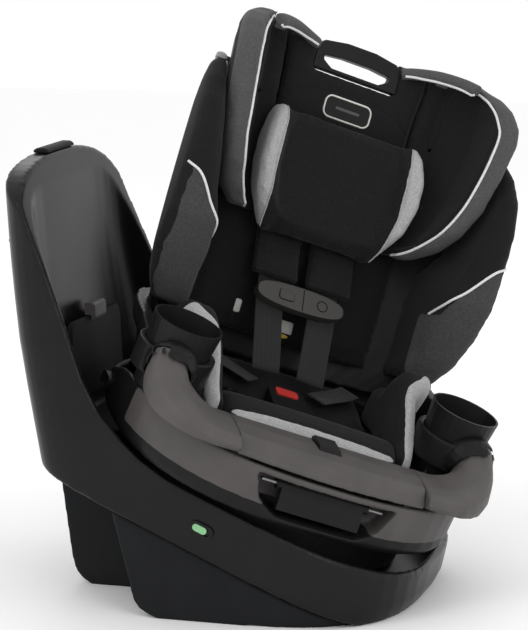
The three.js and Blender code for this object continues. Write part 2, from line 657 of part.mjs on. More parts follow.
function seatShell() {
  const backShell = solid(fromBack(loft([-10, 20, 60, 120, 200, 260, 300, 330, 345].map(shellRing))));
  const tub = solid(loft(TUB_LEVELS.map(([z, half]) => tubPlan(z, half, 0))));
  const tubRoom = solid(loft([[TUB_FLOOR, 180], [130, 205]].map(([z, half]) => tubPlan(z, half, 8))));
  const insideBack = solid(fromBack(loft([-60, -10, 20, 60, 120].map(insideRing))));
  const slope = solid(plateAcross(
    [[-140, 40], [-140, 78], [-88, 78], [-84, 96], [-60, 96], [60, 128], [240, 128], [240, 40]], -300, 300));
  const legs = join(...[-1, 1].map((s) =>
    solid(arcBar(RECLINE_R - 42, RECLINE_R - GAP, -92, 150, s * RAIL_X, RAIL_WIDE))));
  const notch = bothSides(cupAt(COLLAR_R + GAP, COLLAR_R + GAP, 40, 220));
  const armNotch = bothSides(geometryOf(armSolid(GAP)));
  const railRoom = bothSides(arcBar(RECLINE_R - GAP, RECLINE_R + 60, -130, 180, RAIL_X, RAIL_WIDE + 4));
  const aboveFloor = solid(box(-300, 300, -300, 300, TUB_FLOOR - 1, 400));
  const body = join(cut(tub.intersect(slope), tubRoom, insideBack.intersect(aboveFloor)), backShell);
  const bodyNotched = cut(body, notch, armNotch, railRoom);
  return join(bodyNotched, cut(legs, aboveFloor));
}
piece(seat, 'seat_shell', geometryOf(seatShell()), SATIN_BLACK);

// ---------- front bumper, arms and cups ----------
const BUMPER_HALF = 124;
const BUMPER_NOSE = -210;
const BUMPER_CURVE = 0.0009;     // how fast the nose falls back towards the ends
const BUMPER_BACK = -107;

function bumperRing(x) {
  const nose = BUMPER_NOSE + BUMPER_CURVE * x * x;
  return [
    [BUMPER_BACK, 92], [-125, 98], [-150, 100], [-178, 98], [nose + 12, 93], [nose + 2, 84], [nose, 76],
    [nose + 4, 68], [nose + 14, 66], [-150, 78], [BUMPER_BACK, 78],
  ].map(([y, z]) => vec(x, y, z));
}
const bumperBody = solid(loft(steps(-BUMPER_HALF, BUMPER_HALF, 14).map(bumperRing)));
const underSeat = solid(box(-300, 300, -300, 300, -50, CARRIAGE_TOP + 4));
const buttonWell = solid(box(-15, 15, -158, -116, 85, 120));
piece(seat, 'bumper', geometryOf(cut(bumperBody, underSeat, buttonWell)), WARM_GREY);

function releaseButton() {
  const outline = [[-157, 91], [-157, 97], [-152, 102]];
  for (let rib = 0; rib < 6; rib += 1) {
    outline.push([-149 + rib * 5, 103.6], [-146.5 + rib * 5, 102]);
  }
  outline.push([-117, 99], [-117, 91]);
  return plateAcross(outline, -14, 14);
}
piece(seat, 'harness_release', releaseButton(), SATIN_BLACK);

pair(seat, 'arm', geometryOf(cut(armSolid(0), cupRoom, underSeat)), WARM_GREY);

function cupHolder() {
  const inside = cupAt(CUP_FOOT_R - CUP_WALL, CUP_RIM_R - CUP_WALL, CUP_FOOT_Z + 3, CUP_RIM_Z + 1);
  return geometryOf(cut(solid(cupAt(CUP_FOOT_R, CUP_RIM_R, CUP_FOOT_Z, CUP_RIM_Z)), solid(inside)));
}
pair(seat, 'cup_holder', cupHolder(), SATIN_BLACK);

function cupCollar() {
  const ring = solid(cupAt(COLLAR_R - 1, COLLAR_R, 96, 132));
  const hood = solid(new THREE.SphereGeometry(1, 16, 10).scale(33, 30, 33).translate(203, -86, 118));
  const trimmed = hood.intersect(solid(box(150, 260, -112, -40, 96, 150)));
  return geometryOf(cut(join(ring, trimmed), cupRoom, armSolid(2.5)));
}
pair(seat, 'cup_collar', cupCollar(), SATIN_BLACK);

// ---------- cushions ----------
const PAD_FRONT = -105.5;
const PAD_REAR = 140;
const PAD_TOP = [
  [PAD_FRONT, 84], [-98, 92], [-86, 97], [-62, 101], [-40, 93], [-15, 75], [0, 68], [45, 65], [80, 72],
  [110, 78], [PAD_REAR, 84],
];
const PAD_HALF = [[PAD_FRONT, 110], [-90, 117], [-60, 120], [-20, 122], [30, 126], [80, 128], [PAD_REAR, 124]];

function seatPad() {
  const stations = [PAD_FRONT, -98, -90, -87, -62, -40, -15, 10, 45, 80, 110, PAD_REAR];
  return loft(stations.map((y) => {
    const [half, top] = [along(PAD_HALF, y), along(PAD_TOP, y)];
    const low = y < -89 ? 79 : TUB_FLOOR + GAP;
    const shoulder = Math.max(top - 8, low + 3);
    const side = [[half, low], [half, shoulder], [half - 5, top - 1], [half * 0.6, top - 0.4], [0, top]];
    return [...side, ...side.slice(0, -1).reverse().map(([x, z]) => [-x, z])].map(([x, z]) => vec(x, y, z));
  }));
}
piece(seat, 'seat_pad', seatPad(), BLACK_CLOTH);

const THIGH_TOP = [
  [-84, 98], [-60, 112], [-30, 136], [0, 156], [25, 166], [45, 167], [62, 150], [76, 126], [108, 114],
];
const THIGH_INNER = [[-84, 118.5], [-60, 121], [-20, 123.5], [30, 128], [108, 129]];
const THIGH_OUTER = [[-84, 138], [-60, 139], [0, 140], [10, 143], [30, 165], [50, 176], [108, 172]];

function thighBolster() {
  const stations = [-84, -60, -30, 0, 12, 25, 45, 62, 76, 108];
  return loft(stations.map((y) => {
    const [a, b, top] = [along(THIGH_INNER, y), along(THIGH_OUTER, y), along(THIGH_TOP, y)];
    const low = TUB_FLOOR + GAP;
    const outline = [
      [a, low], [b - 14, low], [b + 2, top - 20], [b, top - 7], [b - 7, top], [a + 7, top - 1], [a, top - 9],
    ];
    return outline.map(([x, z]) => vec(x, y, z));
  }));
}
pair(seat, 'thigh_bolster', thighBolster(), BLACK_CLOTH);

// side wing cushion: full width ahead of the shell edge, inside the shell behind it
const WING_THICK = [
  [12, 50], [28, 50], [56, 62], [120, 58], [160, 45], [182, 41], [206, 36], [242, 29], [291, 24], [332, 20],
];
const WING_ROOT = [[12, 150], [104, 150], [150, 154], [170, 163], [190, 176], [210, 182], [242, 188]];
const WING_NOSE = 13;
const WING_REAR = -8;
const WING_CLEAR = 2.6;            // from the wing cushion to the shell that it sits in

function wingRing(u) {
  const reach = along(WING_REACH, u);
  const step = along(SHELL_REACH, u) - WING_CLEAR;
  const noseX = sideWide(u, reach + WING_NOSE);
  const inner = noseX - along(WING_THICK, u);
  const middle = (noseX + inner) / 2;
  const half = (noseX - inner) / 2;
  const outer = steps(step, reach + WING_NOSE + 4, 5).map((d) => [sideWide(u, d), d]);
  const nose = steps(0, Math.PI, 7).map((a) => [
    middle + half * Math.cos(a), reach + WING_NOSE * (1 - Math.sin(a))]);
  const root = Math.min(along(WING_ROOT, u), inner - 2);
  const rear = Math.min(WING_REAR, sideDepth(u, root + 3, SHELL_WALL + GAP));
  const inside = steps(rear, step, 4).map((d, i) => [
    Math.max(sideWide(u, d, SHELL_WALL + WING_CLEAR), root + 1 + 0.2 * i * i), d]);
  return [...outer, ...nose, [root, rear], ...inside].map(([x, d]) => vec(x, d, u));
}
const WING_LEVELS = [16, 45, 84, 120, 153, 193, 222, 265, 299, 320, WING_TOP - 5];
pair(back, 'torso_bolster', loft(WING_LEVELS.map(wingRing)), GREY_CLOTH);

function wingCap() {
  const top = WING_TOP - 5 + GAP;
  const ring = (z, inset) => {
    const depths = steps(-39 - inset, -78 + inset, 4);
    const outer = depths.map((d) => [sideWide(WING_TOP, d) - 1 - inset, d]);
    const inner = depths.map((d) => [sideWide(WING_TOP, d) - 17 + inset, d]);
    return [...outer, ...inner.reverse()].map(([x, d]) => vec(x, d, z));
  };
  return loft([ring(top, 0), ring(top + 6, 1), ring(top + 9, 5)]);
}
pair(back, 'wing_cap', wingCap(), SILVER_PLASTIC);

const BACK_PAD_HALF = 136;
const PAD_CLEAR = 3.8;
function backPadRing(u) {
  const rearAt = (x) => Math.min(34 - 0.01 * x, sideDepth(u, x, SHELL_WALL) - PAD_CLEAR);
  const half = [
    [BACK_PAD_HALF - 8, 0], [BACK_PAD_HALF, 1.5], [BACK_PAD_HALF, Math.max(2.5, rearAt(BACK_PAD_HALF))],
    ...[BACK_PAD_HALF - 8, 100, 50, 0].map((x) => [x, rearAt(x)]),
  ];
  const flip = ([x, d]) => [-x, d];
  const outline = [...half, ...half.slice(0, -1).reverse().map(flip)];
  return outline.map(([x, d]) => vec(x, d, u));
}
piece(back, 'back_pad', loft([16, 60, 120, 200, 260, 320].map(backPadRing)), BLACK_CLOTH);

// ---------- headrest ----------
const HEAD_HALF = [
  [164, 128], [182, 153], [206, 167], [242, 180], [291, 189], [336, 195], [370, 193], [396, 180], [HEAD_TOP, 158],
];
const HEAD_REACH = [
  [164, -62], [182, -92], [206, -117], [242, -133], [291, -144], [336, -148], [357, -142], [380, -122],
  [396, -98], [HEAD_TOP, -62],
];
const HEAD_REAR = -3;
const HEAD_EDGE = 44;            // the shell stops this far behind the padded front edge
const HEAD_FACE = -30;
const HEAD_LEVELS = [HEAD_LOW, 182, 206, 242, 291, 336, 357, 380, 396, HEAD_TOP];

function headCurve(u, inset, reach, count) {
  const half = along(HEAD_HALF, u) - inset;
  const front = along(HEAD_REACH, u);
  const depth = HEAD_REAR - inset - front;
  const start = Math.asin(THREE.MathUtils.clamp((reach - front) / depth, 0, 1) ** 1.5);
  return steps(start, Math.PI / 2, count).map((a) => [
    half * Math.cos(a) ** (2 / 3),
    front + depth * Math.sin(a) ** (2 / 3),
  ]);
}

function headDepth(u, x, inset) {
  const front = along(HEAD_REACH, u);
  const share = Math.min(Math.abs(x) / (along(HEAD_HALF, u) - inset), 1);
  return front + (HEAD_REAR - inset - front) * (1 - share ** 3) ** (1 / 3);
}

function headShellRing(u) {
  const reach = along(HEAD_REACH, u) + HEAD_EDGE;
  const stop = Math.min(reach, -20);
  return symmetricRing(headCurve(u, 0, stop, 10), headCurve(u, HEAD_SKIN, stop, 10), u);
}

// the shell grown by the gap, so that whatever lies against it can be trimmed to fit
function headRoomRing(u) {
  const reach = Math.min(along(HEAD_REACH, u) + HEAD_EDGE, -20) - GAP;
  return symmetricRing(headCurve(u, -1, reach, 10), headCurve(u, HEAD_SKIN + GAP, reach, 10), u);
}
const headRoomLoft = loft([HEAD_LOW - 1, ...HEAD_LEVELS, HEAD_TOP + 1].map(headRoomRing));
const headRoom = join(solid(headRoomLoft), solid(mirror(headRoomLoft)));
const handleGap = solid(box(-61, 61, -60, 20, 368, 460));
const headShell = cut(solid(loft(HEAD_LEVELS.map(headShellRing))), handleGap);
piece(back, 'headrest_shell', geometryOf(headShell), SATIN_BLACK);

function xOnCurve(curve, d) {
  let i = 0;
  while (i < curve.length - 2 && curve[i + 1][1] < d) i += 1;
  const t = THREE.MathUtils.clamp((d - curve[i][1]) / (curve[i + 1][1] - curve[i][1]), 0, 1);
  return lerp(curve[i][0], curve[i + 1][0], t);
}

const HEAD_WING_REAR = -16;
const HEAD_NOSE = 10;
const headInside = (u) => headCurve(u, HEAD_SKIN + GAP, along(HEAD_REACH, u), 24);

// where the head wings meet the middle pad
function headRoot(u) {
  return Math.min(along(HEAD_HALF, u) - HEAD_WING - 10, 116, xOnCurve(headInside(u), HEAD_WING_REAR) - 6);
}

function headWingRing(u) {
  const front = along(HEAD_REACH, u);
  const edge = Math.min(front + HEAD_EDGE, -20) - GAP;
  const fullCurve = headCurve(u, 0, front, 24);
  const outerX = xOnCurve(fullCurve, front + HEAD_NOSE);
  const innerX = outerX - HEAD_WING;
  const outer = steps(edge, front + HEAD_NOSE + 3, 4).map((d) => [xOnCurve(fullCurve, d), d]);
  const nose = steps(0, Math.PI, 6).map((a) => [
    (outerX + innerX) / 2 + (HEAD_WING / 2) * Math.cos(a), front + HEAD_NOSE * (1 - Math.sin(a))]);
  const inside = steps(HEAD_WING_REAR, edge, 3).map((d) => [xOnCurve(headInside(u), d), d]);
  const fold = (d, back, skin) => Math.min(innerX - back, xOnCurve(headInside(u), d) - skin);
  const middleDepth = THREE.MathUtils.clamp(front + 34, -72, HEAD_FACE - 8);
  const face = [
    [fold(middleDepth, 4, 17), middleDepth], [fold(HEAD_FACE, 8, 15), HEAD_FACE - 0.6],
    [headRoot(u), HEAD_FACE], [headRoot(u), HEAD_WING_REAR],
  ];
  return [...outer, ...nose, ...face, ...inside].map(([x, d]) => vec(x, d, u));
}
const headWing = cut(solid(loft(HEAD_LEVELS.map(headWingRing))), headRoom);
pair(back, 'headrest_wing', geometryOf(headWing), GREY_CLOTH);

function headPadRing(u) {
  const half = headRoot(u) - GAP;
  const rearAt = (x) => headDepth(u, x, HEAD_SKIN + 2 * GAP);
  const side = [
    [half - 4, HEAD_FACE], [half, HEAD_FACE + 3], [half, Math.min(rearAt(half), HEAD_WING_REAR)],
    [half * 0.8, rearAt(half * 0.8)], [half * 0.45, rearAt(half * 0.45)], [0, rearAt(0)],
  ];
  const flip = ([x, d]) => [-x, d];
  return [...side, ...side.slice(0, -1).reverse().map(flip)].map(([x, d]) => vec(x, d, u));
}
const headPad = cut(solid(loft([168, 200, 242, 300, 350, 385, 402].map(headPadRing))), handleGap);
piece(back, 'headrest_pad', geometryOf(headPad), BLACK_CLOTH);

const PILLOW_HALF = [[143, 80], [160, 88], [182, 98], [200, 106], [250, 110], [290, 106], [308, 98]];
const PILLOW_REACH = [[143, -50], [180, -76], [230, -88], [280, -82], [308, -62]];

function pillowRing(u) {
  const [half, reach] = [along(PILLOW_HALF, u), along(PILLOW_REACH, u)];
  const face = Math.max(reach + 2, -57);
  const rear = HEAD_FACE - 1.2;
  const side = [
    [half - 4, rear], [half, rear - 8], [half, reach + 8], [half - 7, reach], [half - 15, reach + 6],
    [half - 30, face], [0, face - 1],
  ];
  return [...side, ...side.slice(0, -1).reverse().map(([x, d]) => [-x, d])].map(([x, d]) => vec(x, d, u));
}
piece(back, 'head_pillow', loft([143, 160, 190, 225, 260, 290, 304].map(pillowRing)), BLACK_CLOTH);

function headrestHandle() {
  const frame = solid(plateAlong([
    [-60, 369], [-60, 398], [-52, 407], [-20, 412], [20, 412], [52, 407], [60, 398], [60, 369]], -27, -12));
  const opening = solid(plateAlong([
    [-34, 374], [-47, 382], [-48, 388], [-20, 391], [20, 391], [48, 388], [47, 382], [34, 374]], -60, 20));
  return geometryOf(cut(frame, opening));
}
piece(back, 'headrest_handle', headrestHandle(), SATIN_BLACK);
const trigger = roundedBox(84, 13, 4).map(([x, z]) => [x, z + 400]);
piece(back, 'headrest_trigger', plateAlong(trigger, -11.4, -7), MATT_BLACK);
const badge = roundedBox(70, 32, 12).map(([x, z]) => [x, z + 326]);
piece(back, 'headrest_badge', plateAlong(badge, HEAD_FACE - 2.2, HEAD_FACE - GAP), SATIN_BLACK);

// ---------- harness ----------
const STRAP_ROUTE = [[158, -7], [145, -9], [100, -26], [60, -42], [10, -63], [-30, -79]];
const strapDepth = (u) => along(STRAP_ROUTE.slice().reverse(), u);
const strapX = (u) => lerp(31, WEB_X, THREE.MathUtils.clamp((u + 30) / 90, 0, 1));
const strapRoute = STRAP_ROUTE.map(([u, d]) => vec(strapX(u), d, u));
pair(back, 'shoulder_strap', band(strapRoute, WEB_WIDE, WEB_THICK), WEBBING);

const PAD_STATIONS = [152, 140, 120, 104, 92];
const coverRoute = PAD_STATIONS.map((u) => vec(WEB_X + 1, strapDepth(u) - 9, u));
pair(back, 'shoulder_pad', band(coverRoute, 62, 12), BLACK_CLOTH);

const CLIP = { u: 68, half: 61, tall: 34, thick: 13 };
const clipGroup = new THREE.Group();
clipGroup.position.set(0, strapDepth(CLIP.u) - 2.5, CLIP.u);
clipGroup.rotation.x = -22 * DEG;
back.add(clipGroup);
const clipOutline = steps(0, 2 * Math.PI, 36).slice(0, 36).map((a) => [
  CLIP.half * signedPower(Math.cos(a), 0.85), (CLIP.tall / 2) * signedPower(Math.sin(a), 0.7),
]);
const clipButtonAt = roundedBox(20, 13, 3).map(([x, z]) => [x - 20, z]);
const clipBody = solid(plateAlong(clipOutline, -CLIP.thick, 0));
const clipWell = solid(plateAlong(roundedBox(21, 14, 3.5).map(([x, z]) => [x - 20, z]), -CLIP.thick - 2, -5));
piece(clipGroup, 'chest_clip', geometryOf(cut(clipBody, clipWell)), BUCKLE_GREY);
piece(clipGroup, 'chest_clip_button', plateAlong(clipButtonAt, -CLIP.thick - 0.8, -9), BUCKLE_GREY);

const buckleGroup = new THREE.Group();
buckleGroup.position.set(0, 34, 78);
buckleGroup.rotation.x = 8 * DEG;
seat.add(buckleGroup);
const flatPlate = (outline, z0, z1) => new THREE.ExtrudeGeometry(
  new THREE.Shape(outline.map(([a, b]) => new THREE.Vector2(a, b))), { depth: z1 - z0, bevelEnabled: false },
).translate(0, 0, z0);
const buckleWell = solid(flatPlate(roundedBox(31, 17, 4).map(([x, y]) => [x, y + 13]), 1, 20));
const buckleBody = cut(solid(flatPlate(roundedBox(50, 50, 9), -5, 6)), buckleWell);
piece(buckleGroup, 'buckle', geometryOf(buckleBody), SATIN_BLACK);
const redButton = roundedBox(30, 16, 3.5).map(([x, y]) => [x, y + 13]);
piece(buckleGroup, 'buckle_button', flatPlate(redButton, 3.4, 7.4), RED_PLASTIC);

const lapRoute = [vec(44, 58, 86), vec(62, 74, 87), vec(86, 92, 89), vec(104, 108, 92)];
pair(seat, 'lap_strap', band(lapRoute, WEB_WIDE - 8, WEB_THICK, vec(-0.65, 0.76, 0)), WEBBING);
const crotchRoute = [vec(0, 3, 75), vec(0, -8, 77), vec(0, -18, 81)];
piece(seat, 'crotch_strap', band(crotchRoute, WEB_WIDE, WEB_THICK), WEBBING);

export default group;
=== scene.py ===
"""Looks of the swivel car seat: cloth, piping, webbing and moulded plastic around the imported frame."""
import math

import bpy
import numpy as np
from mathutils import Matrix, Vector
from mathutils.bvhtree import BVHTree


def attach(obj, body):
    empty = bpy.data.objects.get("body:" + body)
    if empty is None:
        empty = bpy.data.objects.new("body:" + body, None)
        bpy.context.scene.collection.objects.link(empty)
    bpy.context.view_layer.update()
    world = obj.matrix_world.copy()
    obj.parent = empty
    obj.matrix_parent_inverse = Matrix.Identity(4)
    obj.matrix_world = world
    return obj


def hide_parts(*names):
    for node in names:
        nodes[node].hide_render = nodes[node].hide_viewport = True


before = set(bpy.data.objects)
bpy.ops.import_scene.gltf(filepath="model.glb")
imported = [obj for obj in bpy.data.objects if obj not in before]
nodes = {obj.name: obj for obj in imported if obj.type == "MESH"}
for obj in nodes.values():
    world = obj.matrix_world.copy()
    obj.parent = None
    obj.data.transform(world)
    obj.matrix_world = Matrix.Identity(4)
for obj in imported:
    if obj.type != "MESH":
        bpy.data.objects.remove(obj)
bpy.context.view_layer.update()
scene = bpy.context.scene

# ---------- frames of the seat and of its back, as in the CAD ----------
MM = 0.001
AXIS = Vector((5, 0, 145)) * MM           # swivel centre
TILT = math.radians(24)                   # lean of the swivel axis
SWIVEL = math.radians(32)                 # rest turn of the seat
BACK_FOOT = Vector((0, 150, 95)) * MM     # lower edge of the seat back, in the seat frame
BACK_LEAN = math.radians(24)
SEAT = Matrix.Translation(AXIS) @ Matrix.Rotation(TILT, 4, "Y") @ Matrix.Rotation(SWIVEL, 4, "Z")
BACK = SEAT @ Matrix.Translation(BACK_FOOT) @ Matrix.Rotation(-BACK_LEAN, 4, "X")
MIRROR = SEAT @ Matrix.Scale(-1, 4, (1, 0, 0)) @ SEAT.inverted()
SIDES = (("R", 1), ("L", -1))

# ---------- sizes that the looks need, in millimetres ----------
PIPING_R = 1.7
PIPING_LIFT = 0.35                        # how far piping stands off its cover, as a share of its radius
SETTLE_ROUNDS = 6                         # how often a piping line is evened out
BORDER_SHIFT = 2.5                        # furthest that the border between two cloths may slide
BORDER_ROUNDS = 8
CORNER_STEPS = 6                          # faces round each corner of a label or outline

# ---------- textures: bumps are (strength, distance in metres) ----------
CLOTH_ROUGH = 0.92
CLOTH_SHEEN_ROUGH = 0.45
CLOTH_SPECULAR = 0.12
SPECKLE_SCALE = 420
FOLD_SCALE = 15
PIT_SCALE = 330
TWILL_SCALE = 260
WAVE_FACTOR = 20                          # a wave texture multiplies its coordinate by this
WEAVE_BUMP = (0.35, 0.0006)
FOLD_BUMP = (0.25, 0.004)
PIT_BUMP = (0.6, 0.0012)
TWILL_BUMP = (0.5, 0.0006)
STEEL_SCALE = 260
STEEL_BUMP = (0.15, 0.0002)
CLOUD_SCALE = 26                          # slow unevenness of moulded plastic
RAMP_ENDS = (0.3, 0.7)

# ---------- the cloth pressure pass ----------
PRESSURE = 4.0
FRAMES = 20
CLOTH_QUALITY = 4
CLOTH_STIFFNESS = 12
CLOTH_BENDING = 2


# ---------- node material helpers ----------
def new_material(name, color, roughness, **sockets):
    """A Principled material; returns the material, its node tree and the shader."""
    mat = bpy.data.materials.new(name)
    mat.use_nodes = True
    tree = mat.node_tree
    shader = tree.nodes["Principled BSDF"]
    shader.inputs["Base Color"].default_value = (*color, 1)
    shader.inputs["Roughness"].default_value = roughness
    for key, value in sockets.items():
        shader.inputs[key.replace("_", " ")].default_value = value
    return mat, tree, shader


def texture(tree, kind, scale, **settings):
    """A texture node on object coordinates, which are the shared frame's metres."""
    node = tree.nodes.new(kind)
    place = tree.nodes.get("Place") or tree.nodes.new("ShaderNodeTexCoord")
    place.name = "Place"
    tree.links.new(place.outputs["Object"], node.inputs["Vector"])
    node.inputs["Scale"].default_value = scale
    for key, value in settings.items():
        if key in node.inputs:
            node.inputs[key].default_value = value
        else:
            setattr(node, key, value)
    return node


def mapped(tree, node, rotation):
    """Turns a texture's coordinates, so that its pattern follows the seat."""
    turn = tree.nodes.new("ShaderNodeMapping")
    turn.inputs["Rotation"].default_value = rotation
    tree.links.new(tree.nodes["Place"].outputs["Object"], turn.inputs["Vector"])
    tree.links.new(turn.outputs["Vector"], node.inputs["Vector"])
    return node


def ramp_color(tree, shader, source, dark, light):
    """Colour between dark and light driven by a texture."""
    ramp = tree.nodes.new("ShaderNodeValToRGB")
    ramp.color_ramp.elements[0].position = RAMP_ENDS[0]
    ramp.color_ramp.elements[1].position = RAMP_ENDS[1]
    ramp.color_ramp.elements[0].color = (*dark, 1)
    ramp.color_ramp.elements[1].color = (*light, 1)
    tree.links.new(source, ramp.inputs["Fac"])
    tree.links.new(ramp.outputs["Color"], shader.inputs["Base Color"])


def add_bump(tree, shader, source, strength, distance):
    """Stacks one more bump under the shader's normal."""
    bump = tree.nodes.new("ShaderNodeBump")
    bump.inputs["Strength"].default_value = strength
    bump.inputs["Distance"].default_value = distance
    tree.links.new(source, bump.inputs["Height"])
    if shader.inputs["Normal"].is_linked:
        tree.links.new(shader.inputs["Normal"].links[0].from_socket, bump.inputs["Normal"])
    tree.links.new(bump.outputs["Normal"], shader.inputs["Normal"])


SEAT_TURN = SEAT.inverted().to_euler()
BACK_TURN = BACK.inverted().to_euler()


def cloth_material(name, dark, light, turn=BACK_TURN, pitch=2.0, sheen=0.06):
    """Woven cloth: crossed threads as bump, mottled colour and soft sheen. pitch is in millimetres."""
    mat, tree, shader = new_material(name, light, CLOTH_ROUGH, Sheen_Weight=sheen,
                                     Sheen_Roughness=CLOTH_SHEEN_ROUGH)
    shader.inputs["Specular IOR Level"].default_value = CLOTH_SPECULAR
    speckle = texture(tree, "ShaderNodeTexNoise", SPECKLE_SCALE, Detail=3)
    ramp_color(tree, shader, speckle.outputs["Fac"], dark, light)
    threads = 2 * math.pi / (pitch * MM) / WAVE_FACTOR
    weave = []
    for direction in ("X", "Z"):
        wave = texture(tree, "ShaderNodeTexWave", threads, bands_direction=direction, Distortion=0.6)
        weave.append(mapped(tree, wave, turn))
    cross = tree.nodes.new("ShaderNodeMath")
    cross.operation = "MULTIPLY"
    tree.links.new(weave[0].outputs["Fac"], cross.inputs[0])
    tree.links.new(weave[1].outputs["Fac"], cross.inputs[1])
    add_bump(tree, shader, cross.outputs["Value"], *WEAVE_BUMP)
    folds = texture(tree, "ShaderNodeTexNoise", FOLD_SCALE, Detail=2)
    add_bump(tree, shader, folds.outputs["Fac"], *FOLD_BUMP)
    return mat


def dotted_material(name, dark, light):
    """Spacer mesh: rows of small pits over the cloth."""
    mat = cloth_material(name, dark, light)
    tree = mat.node_tree
    shader = tree.nodes["Principled BSDF"]
    pits = texture(tree, "ShaderNodeTexVoronoi", PIT_SCALE, feature="F1", Randomness=0.25)
    add_bump(tree, shader, pits.outputs["Distance"], *PIT_BUMP)
    return mat


def plastic_material(name, color, roughness, grain, depth, strength, **sockets):
    """Moulded plastic: fine grain as bump, roughness that varies and slightly uneven colour.
    grain is the texture's scale; depth, in metres, and strength are those of its bump."""
    mat, tree, shader = new_material(name, color, roughness, **sockets)
    dark = tuple(c * 0.86 for c in color)
    light = tuple(min(1, c * 1.1) for c in color)
    cloud = texture(tree, "ShaderNodeTexNoise", CLOUD_SCALE, Detail=4)
    ramp_color(tree, shader, cloud.outputs["Fac"], dark, light)
    spread = tree.nodes.new("ShaderNodeMapRange")
    spread.inputs["To Min"].default_value = roughness * 0.88
    spread.inputs["To Max"].default_value = min(1, roughness * 1.15)
    tree.links.new(cloud.outputs["Fac"], spread.inputs["Value"])
    tree.links.new(spread.outputs["Result"], shader.inputs["Roughness"])
    fine = texture(tree, "ShaderNodeTexNoise", grain, Detail=2)
    add_bump(tree, shader, fine.outputs["Fac"], strength, depth)
    return mat


def metal_material(name, color, roughness):
    """Plain steel with a fine uneven grain."""
    mat, tree, shader = new_material(name, color, roughness, Metallic=1.0)
    grain = texture(tree, "ShaderNodeTexNoise", STEEL_SCALE, Detail=4)
    ramp_color(tree, shader, grain.outputs["Fac"], tuple(c * 0.8 for c in color), color)
    add_bump(tree, shader, grain.outputs["Fac"], *STEEL_BUMP)
    return mat


def webbing_material():
    """Harness webbing: a twill of fine diagonal threads."""
    mat, tree, shader = new_material("webbing", (0.03, 0.031, 0.033), 0.75, Sheen_Weight=0.1,
                                     Sheen_Roughness=0.4, Specular_IOR_Level=0.2)
    wave = texture(tree, "ShaderNodeTexWave", TWILL_SCALE, bands_direction="DIAGONAL")
    twill = mapped(tree, wave, BACK_TURN)
    ramp_color(tree, shader, twill.outputs["Fac"], (0.011, 0.011, 0.0112), (0.027, 0.027, 0.0275))
    add_bump(tree, shader, twill.outputs["Fac"], *TWILL_BUMP)
    return mat


BLACK_DARK = (0.0085, 0.0085, 0.009)
BLACK_LIGHT = (0.0135, 0.0135, 0.014)

# name, colour, roughness, grain scale, bump depth, bump strength
MAT = {
    "gloss": plastic_material("base_gloss", (0.0065, 0.0066, 0.0069), 0.3, 500, 0.0001, 0.08, IOR=1.28),
    "matt": plastic_material("base_matt", (0.011, 0.0115, 0.0125), 0.6, 1100, 0.0004, 0.35, IOR=1.2),
    "warm": plastic_material("bumper_grey", (0.074, 0.067, 0.066), 0.5, 900, 0.0002, 0.15,
                             Specular_IOR_Level=0.3),
    "satin": plastic_material("shell_satin", (0.0095, 0.0095, 0.01), 0.4, 800, 0.0002, 0.15, IOR=1.25),
    "silver": plastic_material("silver_trim", (0.42, 0.42, 0.43), 0.3, 700, 0.0001, 0.1),
    "clip": plastic_material("clip_grey", (0.03, 0.0285, 0.026), 0.48, 900, 0.0002, 0.2),
    "red": plastic_material("red_button", (0.52, 0.035, 0.03), 0.4, 800, 0.0001, 0.1),
    "green": plastic_material("green_flag", (0.22, 0.5, 0.24), 0.4, 800, 0.0001, 0.1),
    "nylon": plastic_material("nylon", (0.66, 0.65, 0.6), 0.5, 800, 0.0001, 0.1),
    "steel": metal_material("steel", (0.3, 0.305, 0.31), 0.42),
    "black_cloth": cloth_material("black_cloth", BLACK_DARK, BLACK_LIGHT),
    "seat_cloth": cloth_material("seat_black_cloth", BLACK_DARK, BLACK_LIGHT, SEAT_TURN),
    "mesh_cloth": dotted_material("mesh_cloth", BLACK_DARK, (0.015, 0.015, 0.0155)),
    "grey_cloth": cloth_material("grey_cloth", (0.062, 0.062, 0.063), (0.092, 0.091, 0.091)),
    "panel_grey": cloth_material("panel_grey_cloth", (0.04, 0.04, 0.041), (0.062, 0.061, 0.061)),
    "silver_cloth": cloth_material("silver_cloth", (0.3, 0.3, 0.305), (0.42, 0.42, 0.425), sheen=0.2),
    "label_white": cloth_material("label_white", (0.5, 0.49, 0.46), (0.62, 0.61, 0.58), pitch=1.2),
    "label_yellow": cloth_material("label_yellow", (0.55, 0.4, 0.05), (0.68, 0.5, 0.08), pitch=1.2),
    "piping": cloth_material("white_piping", (0.62, 0.62, 0.61), (0.78, 0.78, 0.77), pitch=1.4),
    "webbing": webbing_material(),
}


# ---------- mesh helpers ----------
def between(pairs, keys):
    """Straight interpolation of an array of keys through (key, value) pairs."""
    return np.interp(keys, [p[0] for p in pairs], [p[1] for p in pairs])


def place(obj, body, slot):
    """Shades a piece smooth and rides it on its body; slot is not used."""
    for polygon in obj.data.polygons:
        polygon.use_smooth = True
    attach(obj, body)
    return obj


def new_object(name, verts, faces, matrix=Matrix.Identity(4)):
    """A mesh object from vertices in millimetres of a frame."""
    mesh = bpy.data.meshes.new(name)
    mesh.from_pydata([matrix @ (Vector(v) * MM) for v in verts], [], faces)
    mesh.update()
    obj = bpy.data.objects.new(name, mesh)
    scene.collection.objects.link(obj)
    return obj


def bake(obj):
    """Applies every modifier."""
    graph = bpy.context.evaluated_depsgraph_get()
    mesh = bpy.data.meshes.new_from_object(obj.evaluated_get(graph))
    obj.modifiers.clear()
    obj.data = mesh
    return obj


def copy_of(node, name):
    """A new object with the CAD node's mesh."""
    obj = bpy.data.objects.new(name, nodes[node].data.copy())
    scene.collection.objects.link(obj)
    obj.data.materials.clear()
    return obj


